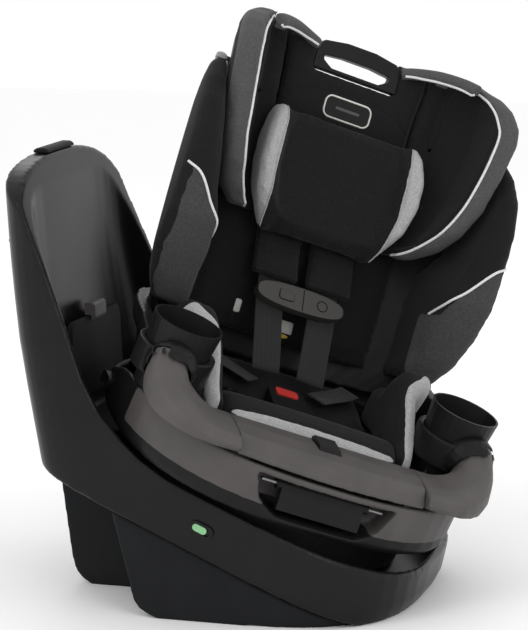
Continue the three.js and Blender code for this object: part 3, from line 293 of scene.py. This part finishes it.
def remesh(obj, voxel, rounds):
    """Even small faces, then smoothing that rounds every edge. voxel is in millimetres."""
    mod = obj.modifiers.new("remesh", "REMESH")
    mod.mode = "VOXEL"
    mod.voxel_size = voxel * MM
    smooth = obj.modifiers.new("smooth", "SMOOTH")
    smooth.factor = 0.5
    smooth.iterations = rounds
    return bake(obj)


def coords(obj):
    """The vertices as rows of x, y, z in metres."""
    values = np.empty(len(obj.data.vertices) * 3, np.float32)
    obj.data.vertices.foreach_get("co", values)
    return values.reshape(-1, 3).astype(float)


def set_coords(obj, values):
    """Writes the vertices back."""
    obj.data.vertices.foreach_set("co", values.astype(np.float32).ravel())
    obj.data.update()


def normals(obj):
    """The vertex normals as rows."""
    values = np.empty(len(obj.data.vertices) * 3, np.float32)
    obj.data.vertices.foreach_get("normal", values)
    return values.reshape(-1, 3).astype(float)


def limited(start, end, reach):
    """Moves from start towards end, by at most reach millimetres."""
    move = end - start
    length = np.linalg.norm(move, axis=1, keepdims=True)
    return start + move * np.minimum(1, reach * MM / np.maximum(length, 1e-9))


def inflate(obj, cap):
    """Cloth pressure pass: the cover swells over its foam, by at most cap millimetres."""
    rest = coords(obj)
    mod = obj.modifiers.new("cloth", "CLOTH")
    mod.settings.quality = CLOTH_QUALITY
    mod.settings.use_pressure = True
    mod.settings.uniform_pressure_force = PRESSURE
    mod.settings.tension_stiffness = CLOTH_STIFFNESS
    mod.settings.compression_stiffness = CLOTH_STIFFNESS
    mod.settings.bending_stiffness = CLOTH_BENDING
    mod.settings.effector_weights.gravity = 0
    for index in range(1, FRAMES + 1):
        scene.frame_set(index)
    graph = bpy.context.evaluated_depsgraph_get()
    swollen = obj.evaluated_get(graph).to_mesh()
    values = np.empty(len(rest) * 3, np.float32)
    swollen.vertices.foreach_get("co", values)
    obj.modifiers.clear()
    scene.frame_set(1)
    set_coords(obj, limited(rest, values.reshape(-1, 3), cap))


def refine(obj):
    """One level of subdivision."""
    mod = obj.modifiers.new("subdivision", "SUBSURF")
    mod.levels = 1
    mod.render_levels = 1
    return bake(obj)


def to_frame(points, matrix):
    """World metres to a frame's millimetres."""
    inverse = np.array(matrix.inverted())
    return (points @ inverse[:3, :3].T + inverse[:3, 3]) / MM


def polyline_distance(points, line):
    """Shortest distance of each point to a polyline, all in millimetres."""
    best = np.full(len(points), 1e9)
    for a, b in zip(line[:-1], line[1:]):
        a, b = np.array(a, float), np.array(b, float)
        run = b - a
        t = np.clip(((points - a) @ run) / (run @ run), 0, 1)
        best = np.minimum(best, np.linalg.norm(points - (a + t[:, None] * run), axis=1))
    return best


def crease(obj, matrix, line, depth, width):
    """Sews a line into the cushion: the cover is pulled in along it."""
    points = to_frame(coords(obj), matrix)
    pull = depth * MM * np.exp(-(polyline_distance(points, line) / width) ** 2)
    set_coords(obj, coords(obj) - normals(obj) * pull[:, None])


def even_border(obj):
    """Straightens the stepped border between two materials by sliding its vertices along it."""
    mesh = obj.data
    owners = {}
    for polygon in mesh.polygons:
        for key in polygon.edge_keys:
            owners.setdefault(key, set()).add(polygon.material_index)
    border = np.array([key for key, found in owners.items() if len(found) > 1])
    if not len(border):
        return
    points = coords(obj)
    for _ in range(BORDER_ROUNDS):
        total = np.zeros_like(points)
        count = np.zeros(len(points))
        for a, b in (border.T, border.T[::-1]):
            np.add.at(total, a, points[b])
            np.add.at(count, a, 1)
        inner = count == 2
        points[inner] = 0.5 * points[inner] + 0.5 * total[inner] / 2
    set_coords(obj, limited(coords(obj), points, BORDER_SHIFT))


def paint(obj, materials, rule, matrix):
    """Gives each face the material whose number the rule returns.
    The rule gets the faces' centres and normals in the frame."""
    obj.data.materials.clear()
    for key in materials:
        obj.data.materials.append(MAT[key])
    count = len(obj.data.polygons)
    centre = np.empty(count * 3, np.float32)
    normal = np.empty(count * 3, np.float32)
    obj.data.polygons.foreach_get("center", centre)
    obj.data.polygons.foreach_get("normal", normal)
    points = to_frame(centre.reshape(-1, 3).astype(float), matrix)
    turned = normal.reshape(-1, 3) @ np.array(matrix.to_3x3())
    obj.data.polygons.foreach_set("material_index", rule(points, turned).astype(np.int32))
    obj.data.update()
    even_border(obj)


def one_cloth(points, normal):
    """The rule of a piece that is all one material."""
    return np.zeros(len(points))


def mirrored(obj, name):
    """The same piece on the other side of the seat."""
    twin = bpy.data.objects.new(name, obj.data.copy())
    scene.collection.objects.link(twin)
    twin.data.transform(MIRROR)
    twin.data.flip_normals()
    return twin


def smooth_line(points, per_step=6):
    """Catmull-Rom points through a few chosen ones."""
    p = [Vector(v) for v in points]
    p = [p[0] * 2 - p[1], *p, p[-1] * 2 - p[-2]]
    line = []
    for i in range(1, len(p) - 2):
        for k in range(per_step):
            t = k / per_step
            line.append(0.5 * (2 * p[i] + (p[i + 1] - p[i - 1]) * t
                               + (2 * p[i - 1] - 5 * p[i] + 4 * p[i + 1] - p[i + 2]) * t * t
                               + (3 * p[i] - p[i - 1] - 3 * p[i + 1] + p[i + 2]) * t ** 3))
    return [*line, p[-2]]


def on_surface(obj, matrix, line, lift):
    """Drops a line's points on a piece's surface; lift is how far they stand off it, in millimetres."""
    tree = BVHTree.FromObject(obj, bpy.context.evaluated_depsgraph_get())
    landed = []
    for point in line:
        hit, normal, _, _ = tree.find_nearest(matrix @ (Vector(point) * MM))
        landed.append(matrix.inverted() @ (hit + normal * lift * MM) / MM)
    return landed


def sweep(name, line, section, matrix, side=None, ring=False):
    """A closed tube of the given section, [across, out] pairs in millimetres, along a line.
    side gives the direction of the section's first axis where it has to stay put.
    ring joins the last point back to the first."""
    verts, faces = [], []
    line = [Vector(p) for p in line]
    count = len(section)
    last = len(line) - 1
    across = Vector(side) if side else None
    for i, p in enumerate(line):
        ahead = line[(i + 1) % len(line)] if ring else line[min(i + 1, last)]
        behind = line[i - 1] if ring else line[max(i - 1, 0)]
        run = (ahead - behind).normalized()
        if across is None:
            across = run.orthogonal()
        first = (across - run * across.dot(run)).normalized()
        if side is None:
            across = first
        second = run.cross(first)
        verts.extend(p + first * a + second * b for a, b in section)
    for i in range(len(line) if ring else last):
        here, there = i * count, (i + 1) % len(line) * count
        for k in range(count):
            a, b = k, (k + 1) % count
            faces.append((here + a, here + b, there + b, there + a))
    if not ring:
        faces.append(tuple(reversed(range(count))))
        faces.append(tuple(range(last * count, len(line) * count)))
    return new_object(name, verts, faces, matrix)


def round_section(radius, sides=8, stretch=1.0):
    """A circle, or an ellipse that is stretch times as tall as it is wide."""
    angles = [2 * math.pi * i / sides for i in range(sides)]
    return [(radius * math.cos(a), radius * stretch * math.sin(a)) for a in angles]


def piping(name, obj, line, body, key="piping", radius=PIPING_R):
    """Piping sewn along a line, in the back's frame, on a piece."""
    fine = on_surface(obj, BACK, smooth_line(line, 8), 0)
    for _ in range(SETTLE_ROUNDS):
        inner = [(a + b * 2 + c) / 4 for a, b, c in zip(fine, fine[1:], fine[2:])]
        fine = [fine[0], *inner, fine[-1]]
    path = on_surface(obj, BACK, fine, radius * PIPING_LIFT)
    cord = sweep(name, path, round_section(radius), BACK)
    cord.data.materials.append(MAT[key])
    place(cord, body, "grey_cloth")


def flipped(line, s):
    """A line of the right side (s is 1) or its mirror image on the left (s is -1)."""
    return [(s * x, d, u) for x, d, u in line]


def rounded_loop(half_wide, half_tall, radius):
    """Points round a rectangle with rounded corners."""
    loop = []
    for quarter, (sx, sz) in enumerate(((1, 1), (-1, 1), (-1, -1), (1, -1))):
        for k in range(CORNER_STEPS + 1):
            angle = math.pi / 2 * (quarter + k / CORNER_STEPS)
            loop.append((sx * (half_wide - radius) + radius * math.cos(angle),
                         sz * (half_tall - radius) + radius * math.sin(angle)))
    return loop


LABEL_LOOPS = (0.4, 0.75, 1)       # loops of vertices, as shares of the label's size
LABEL_CORNER = 3
LABEL_TOP = 1.3                    # heights of its two faces over the cushion
LABEL_UNDER = 0.5


def label(name, base, centre, half_wide, half_tall, key, body):
    """A blank label sewn on a piece: a thin rounded plate that lies on its surface."""
    x0, depth, u0 = centre
    loops = [[(x0, depth, u0)]]
    for share in LABEL_LOOPS:
        edge = rounded_loop(half_wide * share, half_tall * share, LABEL_CORNER * share)
        loops.append([(x0 + x, depth, u0 + z) for x, z in edge])
    flat = [point for loop in loops for point in loop]
    count = len(loops[1])
    verts = on_surface(base, BACK, flat, LABEL_TOP) + on_surface(base, BACK, flat, LABEL_UNDER)
    half = len(flat)
    faces = []
    for k in range(count):
        nxt = (k + 1) % count
        faces.append((0, 1 + k, 1 + nxt))
        faces.append((half, half + 1 + nxt, half + 1 + k))
        for level in range(len(LABEL_LOOPS) - 1):
            a, b = 1 + level * count, 1 + (level + 1) * count
            faces.append((a + k, b + k, b + nxt, a + nxt))
            faces.append((half + a + nxt, half + b + nxt, half + b + k, half + a + k))
        rim = 1 + (len(LABEL_LOOPS) - 1) * count
        faces.append((rim + k, half + rim + k, half + rim + nxt, rim + nxt))
    obj = new_object(name, verts, faces, BACK)
    obj.data.materials.append(MAT[key])
    place(obj, body, "black_cloth")


# ---------- moulded pieces: the CAD shape with its edges rounded ----------
def moulded(node, body, slot, key, voxel, rounds):
    """Takes a CAD node's place with a copy whose edges are rounded."""
    obj = remesh(copy_of(node, f"{node}_moulded"), voxel, rounds)
    obj.data.materials.append(MAT[key])
    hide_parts(node)
    return place(obj, body, slot)


MOULDED = [
    # node, body, slot, material, voxel in mm, rounds of smoothing
    ("base_shell", "base", "gloss_black", "gloss", 3.0, 8),
    ("base_housing", "base", "matt_black", "matt", 3.5, 8),
    ("rear_foot", "base", "matt_black", "matt", 3.0, 8),
    ("panel_rear_cover", "base", "matt_black", "matt", 2.0, 8),
    ("panel_top_cap", "base", "matt_black", "matt", 1.2, 6),
    ("carriage_skirt", "carriage", "warm_grey", "warm", 2.5, 6),
    ("turntable", "carriage", "satin_black", "satin", 3.0, 4),
    ("seat_shell", "seat", "satin_black", "satin", 2.8, 6),
    ("bumper", "seat", "warm_grey", "warm", 1.8, 8),
    ("arm_R", "seat", "warm_grey", "warm", 1.8, 6),
    ("arm_L", "seat", "warm_grey", "warm", 1.8, 6),
    ("cup_collar_R", "seat", "satin_black", "satin", 1.4, 6),
    ("cup_collar_L", "seat", "satin_black", "satin", 1.4, 6),
    ("harness_release", "harness_button", "satin_black", "satin", 0.7, 3),
    ("chest_clip", "seat", "buckle_grey", "clip", 0.8, 5),
    ("buckle", "seat", "satin_black", "satin", 0.5, 3),
    ("headrest_shell", "headrest", "satin_black", "satin", 2.2, 5),
    ("headrest_handle", "headrest", "satin_black", "satin", 1.0, 6),
    ("wing_cap_R", "seat", "silver_plastic", "silver", 0.9, 5),
    ("wing_cap_L", "seat", "silver_plastic", "silver", 0.9, 5),
]
made = {entry[0]: moulded(*entry) for entry in MOULDED}

SKIRT_GREY_ABOVE = 30
SKIRT_GREY_FRONT = -60


def skirt_rule(points, normal):
    """Grey only on the upper front."""
    x, y, z = points.T
    return np.where((z > SKIRT_GREY_ABOVE) & (y < SKIRT_GREY_FRONT), 1, 0)


paint(made["carriage_skirt"], ["satin", "warm"], skirt_rule, SEAT)

# CAD nodes that stay as they are, with their materials
KEPT = {
    "bearing_race": "nylon", "hub_retainer": "steel", "indicator_bezel": "gloss", "lock_indicator": "green",
    "lockoff_door": "matt", "lockoff_pin": "steel", "lockoff_latch": "warm", "swivel_hub": "steel",
    "recline_rail_R": "steel", "recline_rail_L": "steel", "lock_pin": "steel", "lock_spring": "steel",
    "recline_lever": "satin", "recline_lever_pin": "steel",
    "rotation_lever_R": "satin", "rotation_lever_L": "satin",
    "cup_holder_R": "satin", "cup_holder_L": "satin", "chest_clip_button": "clip", "buckle_button": "red",
    "headrest_trigger": "matt", "headrest_badge": "satin",
}
for node, key in KEPT.items():
    nodes[node].data.materials.clear()
    nodes[node].data.materials.append(MAT[key])
CUP_CREASE = math.radians(40)      # edges sharper than this stay sharp
for cup in ("cup_holder_R", "cup_holder_L"):
    for polygon in nodes[cup].data.polygons:
        polygon.use_smooth = True
    nodes[cup].data.set_sharp_from_angle(angle=CUP_CREASE)


# ---------- cushions ----------
def cushion(name, node, voxel, rounds, cap):
    """The foam's shape, remeshed, rounded and swollen by cloth pressure, by at most cap millimetres."""
    obj = remesh(copy_of(node, name), voxel, rounds)
    inflate(obj, cap)
    return refine(obj)


def finish_cushion(obj, body, slot, fill, *replaced):
    place(obj, body, slot)
    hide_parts(*replaced)


def both_sides(right, stem, body, slot, fill, node):
    """Finishes a right-hand cushion and its mirror image; returns the left one."""
    left = mirrored(right, f"{stem}_L")
    finish_cushion(right, body, slot, fill, f"{node}_R")
    finish_cushion(left, body, slot, fill, f"{node}_L")
    return left


# side wings: black cover, grey front panel under a curved line of piping
WING_PIPING = [(222, -140, 180), (210, -152, 172), (198, -152, 160), (186, -150, 146), (174, -142, 130),
               (165, -124, 114), (161, -96, 100)]
WING_INNER = [(100, 150), (130, 164)]      # height, x of the grey panel's inner edge
WING_FRONT = -74
WING_OUTWARD = 0.72                        # faces that look further outwards stay black


def wing_rule(points, normal):
    """Grey in front, below the piping and inside the outer edge."""
    x, d, u = points.T
    below = u < between([(px, pu) for px, _, pu in reversed(WING_PIPING)], x)
    inside = (x > between(WING_INNER, u)) & (d < WING_FRONT) & (normal[:, 0] < WING_OUTWARD)
    return np.where(below & inside, 1, 0)


wing = cushion("side_wing_R", "torso_bolster_R", voxel=4.5, rounds=6, cap=3)
paint(wing, ["black_cloth", "panel_grey"], wing_rule, BACK)
wing_left = both_sides(wing, "side_wing", "seat", "grey_cloth", 0.8, "torso_bolster")
piping("side_wing_piping_R", wing, WING_PIPING, "seat")
piping("side_wing_piping_L", wing_left, flipped(WING_PIPING, -1), "seat")

# head wings: black inside, a grey band round the outer edge, piping between
HEAD_PIPING = [
    (128, -74, 398), (146, -100, 390), (156, -118, 378), (162, -134, 357), (166, -140, 336),
    (162, -136, 291), (153, -125, 242), (140, -109, 206), (126, -84, 182), (112, -62, 168),
    (103, -45, 164)]
# height, depth of the wing's front edge
HEAD_REACH = [(164, -62), (182, -92), (206, -117), (242, -133), (291, -144), (336, -148), (357, -142),
              (380, -122), (396, -98), (412, -62)]
HEAD_TOP = 402                     # where the outline closes above the middle of the headrest
HEAD_REAR = -22                    # everything behind this depth is black
HEAD_OUTWARD = 0.8
BAND_OUTER = (0.3, 27)             # how far out a face looks, depth of the grey band on the outside
BAND_INNER = (-0.35, 12)           # the same on the inside


def inside_outline(x, u, outline):
    """Even-odd test of points against a closed outline."""
    inside = np.zeros(len(x), bool)
    for (x0, u0), (x1, u1) in zip(outline, [*outline[1:], outline[0]]):
        if u0 == u1:
            continue
        crosses = (u0 > u) != (u1 > u)
        inside ^= crosses & (x < x0 + (u - u0) * (x1 - x0) / (u1 - u0))
    return inside


HEAD_OUTLINE = [(x, u) for x, _, u in (tuple(p) for p in smooth_line(HEAD_PIPING, 4))]
HEAD_OUTLINE += [(0, HEAD_OUTLINE[-1][1]), (0, HEAD_TOP)]


def head_rule(points, normal):
    """Grey in a band behind the front edge, outside the piping."""
    x, d, u = points.T
    black = inside_outline(x, u, HEAD_OUTLINE) & (normal[:, 0] < HEAD_OUTWARD)
    front = between(HEAD_REACH, u)
    behind = (normal[:, 0] > BAND_OUTER[0]) & (d > front + BAND_OUTER[1])
    lining = (normal[:, 0] < BAND_INNER[0]) & (d > front + BAND_INNER[1])
    return np.where(black | behind | lining | (d > HEAD_REAR), 0, 1)


head_wing = cushion("head_wing_R", "headrest_wing_R", voxel=4, rounds=5, cap=3)
paint(head_wing, ["black_cloth", "grey_cloth"], head_rule, BACK)
head_left = both_sides(head_wing, "head_wing", "headrest", "grey_cloth", 0.8, "headrest_wing")
piping("head_wing_piping_R", head_wing, HEAD_PIPING, "headrest")
piping("head_wing_piping_L", head_left, flipped(HEAD_PIPING, -1), "headrest")

# the rolled edge from each wing to the handle, with its own piping
HEAD_ROLL = [(61, -27, 398), (80, -34, 403), (104, -52, 405), (128, -76, 401), (142, -94, 395)]
ROLL_PIPING = [(63, -38, 394), (84, -44, 397), (106, -60, 398), (124, -78, 395), (138, -94, 390)]
ROLL_SECTION = round_section(9, 16, 0.8)
for tag, s in SIDES:
    path = smooth_line(flipped(HEAD_ROLL, s))
    roll = remesh(sweep(f"head_roll_{tag}", path, ROLL_SECTION, BACK), voxel=1.6, rounds=4)
    roll.data.materials.append(MAT["grey_cloth"])
    place(roll, "headrest", "grey_cloth")
    piping(f"head_roll_piping_{tag}", roll, flipped(ROLL_PIPING, s), "headrest")

HEAD_SEAM = [(-96, -30, 318), (-60, -30, 338), (0, -30, 346), (60, -30, 338), (96, -30, 318)]
head_pad = cushion("head_pad", "headrest_pad", voxel=4, rounds=5, cap=2)
crease(head_pad, BACK, smooth_line(HEAD_SEAM), depth=1.8, width=2.6)
paint(head_pad, ["black_cloth"], one_cloth, BACK)
finish_cushion(head_pad, "headrest", "black_cloth", 0.7, "headrest_pad")


# pillow: mesh cloth face between two silver crescents
PILLOW_SEAM = [(79, -46, 146), (84, -66, 170), (88, -80, 205), (88, -86, 235), (88, -80, 270),
               (90, -62, 302)]
PILLOW_REAR = -34


def pillow_rule(points, normal):
    """Silver outside the two seams."""
    x, d, u = points.T
    edge = between([(pu, px) for px, _, pu in PILLOW_SEAM], u)
    return np.where((np.abs(x) > edge) & (d < PILLOW_REAR), 1, 0)


pillow = cushion("pillow", "head_pillow", voxel=3.5, rounds=5, cap=5)
paint(pillow, ["mesh_cloth", "silver_cloth"], pillow_rule, BACK)
finish_cushion(pillow, "headrest", "black_cloth", 0.7, "head_pillow")
for tag, s in SIDES:
    piping(f"pillow_piping_{tag}", pillow, flipped(PILLOW_SEAM, s), "headrest", "silver_cloth", radius=1.1)

BACK_SEAM_X = 72
back_cushion = cushion("back_cushion", "back_pad", voxel=5, rounds=4, cap=4)
for x in (-BACK_SEAM_X, BACK_SEAM_X):
    crease(back_cushion, BACK, [(x, 0, 24), (x, 0, 310)], depth=2.4, width=3.2)
paint(back_cushion, ["black_cloth"], one_cloth, BACK)
finish_cushion(back_cushion, "seat", "black_cloth", 0.7, "back_pad")
LABELS = [
    # name, x and height of the centre, half width, half height, material
    ("label_middle", 0, 36, 17, 11, "label_white"),
    ("label_side_L", -64, 46, 5, 10, "label_white"),
    ("label_side_R", 62, 30, 4, 9, "label_white"),
    ("label_foot", 2, 19, 12, 4, "label_yellow"),
]
LABEL_DEPTH = -20
for name, x, u, half_wide, half_tall, key in LABELS:
    label(name, back_cushion, (x, LABEL_DEPTH, u), half_wide, half_tall, key, "seat")


# seat cushion with its silver front roll, and thigh bolsters with a silver trim along the outside
ROLL_FRONT = -100
ROLL_REAR = -88
ROLL_FOOT = 88


def seat_rule(points, normal):
    """Silver on the front roll."""
    x, y, z = points.T
    roll = (y < ROLL_REAR) & (y > ROLL_FRONT) & (z > ROLL_FOOT)
    return np.where(roll, 1, 0)


seat_cushion = cushion("seat_cushion", "seat_pad", voxel=5, rounds=5, cap=4)
paint(seat_cushion, ["seat_cloth", "silver_cloth"], seat_rule, SEAT)
finish_cushion(seat_cushion, "seat", "black_cloth", 0.7, "seat_pad")


THIGH_OUTER = [(-84, 138), (-60, 139), (0, 140), (10, 143), (30, 165), (50, 176)]
THIGH_TRIM = 12
THIGH_REAR = 40


def thigh_rule(points, normal):
    """Silver within a trim's width of the outer edge."""
    x, y, z = points.T
    return np.where((x > between(THIGH_OUTER, y) - THIGH_TRIM) & (y < THIGH_REAR), 1, 0)


thigh = cushion("thigh_cushion_R", "thigh_bolster_R", voxel=4.5, rounds=5, cap=3)
paint(thigh, ["seat_cloth", "silver_cloth"], thigh_rule, SEAT)
both_sides(thigh, "thigh_cushion", "seat", "black_cloth", 0.75, "thigh_bolster")


# ---------- harness ----------
WEB_WIDE = 38
LAP_WIDE = 30
WEB_THICK = 2.4
WEB_RIBS = 6
WEB_STEPS = 36                     # faces across the webbing
RIB_DEPTH = 0.2                    # as a share of the webbing's thickness
SELVEDGE = 1.6                     # width over which the edge thins out
SELVEDGE_LEFT = 0.25               # share of the thickness left at the very edge
WEB_X = 37
WEB_DRAWN_IN = 6                   # how much nearer to the middle the straps run at their foot
WEB_BEND = 60                      # height below which they draw in, over WEB_BEND_LENGTH
WEB_BEND_LENGTH = 90
STRAP_ROUTE = [(158, -7), (145, -9), (100, -26), (60, -42), (10, -63), (-30, -79)]   # height, depth
LAP_ROUTE = [(44, 58, 86), (62, 74, 87), (86, 92, 89), (104, 108, 92)]
LAP_SIDE = (-0.65, 0.76, 0)        # direction of the right lap strap's width
CROTCH_ROUTE = [(0, 3, 75), (0, -8, 77), (0, -18, 81)]


def webbing_section(width):
    """Flat section with lengthwise ribs on both faces and rounded selvedges."""
    half = width / 2
    top = []
    for i in range(WEB_STEPS + 1):
        x = -half + width * i / WEB_STEPS
        edge = min(1.0, (half - abs(x)) / SELVEDGE + SELVEDGE_LEFT)
        rib = 1 - RIB_DEPTH + RIB_DEPTH * math.cos(2 * math.pi * WEB_RIBS * x / width)
        top.append((x, WEB_THICK / 2 * edge * rib))
    return [*top, *[(x, -y) for x, y in reversed(top)]]


def strap(name, line, body, matrix, side, width, *replaced):
    """A ribbed strap along a line; side is the direction of its width."""
    obj = sweep(name, smooth_line(line, 5), webbing_section(width), matrix, side)
    obj.data.materials.append(MAT["webbing"])
    place(obj, body, "webbing")
    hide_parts(*replaced)


def shoulder_route(s):
    """Straight down from the cover, then drawn in towards the buckle."""
    route = []
    for u, d in STRAP_ROUTE:
        share = min(1, max(0, (WEB_BEND - u) / WEB_BEND_LENGTH))
        route.append((s * (WEB_X - WEB_DRAWN_IN * share), d, u))
    return route


for tag, s in SIDES:
    strap(f"harness_web_{tag}", shoulder_route(s), "seat", BACK, (1, 0, 0), WEB_WIDE,
          f"shoulder_strap_{tag}")
    lap_side = flipped([LAP_SIDE], s)[0]
    strap(f"lap_web_{tag}", flipped(LAP_ROUTE, s), "seat", SEAT, lap_side, LAP_WIDE, f"lap_strap_{tag}")
strap("crotch_web", CROTCH_ROUTE, "seat", SEAT, (1, 0, 0), WEB_WIDE, "crotch_strap")

COVER_SEAMS = (WEB_X - 24, WEB_X + 26)
COVER_RUN = [(-25, 150), (-38, 120), (-52, 92)]       # depth, height
cover = cushion("strap_cover_R", "shoulder_pad_R", voxel=2.4, rounds=3, cap=3)
for x in COVER_SEAMS:
    crease(cover, BACK, [(x, d, u) for d, u in COVER_RUN], depth=1.0, width=1.6)
paint(cover, ["mesh_cloth"], one_cloth, BACK)
both_sides(cover, "strap_cover", "headrest", "black_cloth", 0.6, "shoulder_pad")


# ---------- chest clip: the seam between its halves and a round dimple ----------
CLIP_U = 74
CLIP_DEPTH = -57
CLIP_TILT = math.radians(22)       # the clip's face looks up by this much from the seat back
CLIP_LINE_R = 0.7
CLIP_LINE_LIFT = 0.1
CLIP_SEAM_X = 3
DIMPLE_X = 30
DIMPLE_R = 7


def on_clip(x, rise):
    """A point on the plane of the clip's face: x across, rise along the face."""
    return (x, CLIP_DEPTH + rise * math.sin(CLIP_TILT), CLIP_U + rise * math.cos(CLIP_TILT))


def clip_line(name, line, ring=False):
    """A dark line laid on the clip's face."""
    path = on_surface(made["chest_clip"], BACK, line, CLIP_LINE_LIFT)
    obj = sweep(name, path, round_section(CLIP_LINE_R), BACK, (0, 1, 0) if ring else None, ring)
    obj.data.materials.append(MAT["matt"])
    place(obj, "seat", "satin_black")


clip_line("clip_seam", [on_clip(CLIP_SEAM_X, rise) for rise in range(-15, 16, 3)])
circle = [on_clip(DIMPLE_X + DIMPLE_R * math.cos(a), DIMPLE_R * math.sin(a))
          for a in np.linspace(0, 2 * math.pi, 24, False)]
clip_line("clip_dimple", circle, ring=True)

# ---------- badge outline on the headrest: plain, without lettering ----------
BADGE_U = 326
BADGE_FACE = -32.4
BADGE_LOOP = rounded_loop(half_wide=32.5, half_tall=14, radius=9)
BADGE_LINE_R = 1.2
outline = [(x, BADGE_FACE, BADGE_U + z) for x, z in BADGE_LOOP]
badge_line = sweep("badge_outline", outline, round_section(BADGE_LINE_R), BACK, (0, 1, 0), ring=True)
badge_line.data.materials.append(MAT["nylon"])
place(badge_line, "headrest", "satin_black")
bar = [(x, BADGE_FACE, BADGE_U) for x in (-17, -16, 0, 16, 17)]
badge_bar = sweep("badge_bar", bar, round_section(2.2, 10, 0.4), BACK, (0, 0, 1))
badge_bar.data.materials.append(MAT["warm"])
place(badge_bar, "headrest", "satin_black")


# ---------- floor, light and camera ----------
TARGET = Vector((0, 0, 0.3))
CAMERA_AZIMUTH = math.radians(16.44)
CAMERA_HEIGHT = math.radians(10.64)
CAMERA_DISTANCE = 3.5
CAMERA_LENS = 161.8
CAMERA_SENSOR = 36
CAMERA_SHIFT = (-0.0006, 0.0494)
FLOOR_HALF = 6000
FLOOR_COLOR = (0.97, 0.97, 0.97)
LIGHTS = [
    # name, place in metres, size in metres, watts
    ("key", (-1.6, -2.4, 2.4), 1.1, 15),
    ("fill", (2.2, -2.2, 1.5), 0.8, 11),
    ("back", (-0.8, 2.2, 2.2), 1.3, 8),
]


def look_at(obj, target):
    """Turns a light or the camera towards a point."""
    obj.rotation_euler = (target - obj.location).to_track_quat("-Z", "Y").to_euler()


def area_light(name, location, size, power):
    """A soft square light that looks at the seat."""
    data = bpy.data.lights.new(name, "AREA")
    data.size = size
    data.energy = power
    light = bpy.data.objects.new(name, data)
    light.location = location
    look_at(light, TARGET)
    scene.collection.objects.link(light)


def build_stage():
    """Pale floor, white surroundings and three soft lights."""
    corners = [(-1, -1), (1, -1), (1, 1), (-1, 1)]
    floor = new_object("floor", [(FLOOR_HALF * x, FLOOR_HALF * y, 0) for x, y in corners], [(0, 1, 2, 3)])
    mat, _, _ = new_material("floor", FLOOR_COLOR, 0.9)
    floor.data.materials.append(mat)
    world = scene.world or bpy.data.worlds.new("world")
    scene.world = world
    world.use_nodes = True
    background = world.node_tree.nodes["Background"]
    background.inputs["Color"].default_value = (1, 1, 1, 1)
    background.inputs["Strength"].default_value = 1.0
    scene.view_settings.view_transform = "Standard"
    for light in LIGHTS:
        area_light(*light)


def build_camera():
    """The camera of the main view."""
    data = bpy.data.cameras.new("camera")
    data.lens = CAMERA_LENS
    data.sensor_width = CAMERA_SENSOR
    data.shift_x, data.shift_y = CAMERA_SHIFT
    data.dof.use_dof = False
    camera = bpy.data.objects.new("camera", data)
    direction = Vector((math.sin(CAMERA_AZIMUTH) * math.cos(CAMERA_HEIGHT),
                        -math.cos(CAMERA_AZIMUTH) * math.cos(CAMERA_HEIGHT), math.sin(CAMERA_HEIGHT)))
    camera.location = TARGET + direction * CAMERA_DISTANCE
    look_at(camera, TARGET)
    scene.collection.objects.link(camera)
    scene.camera = camera


build_stage()
build_camera()
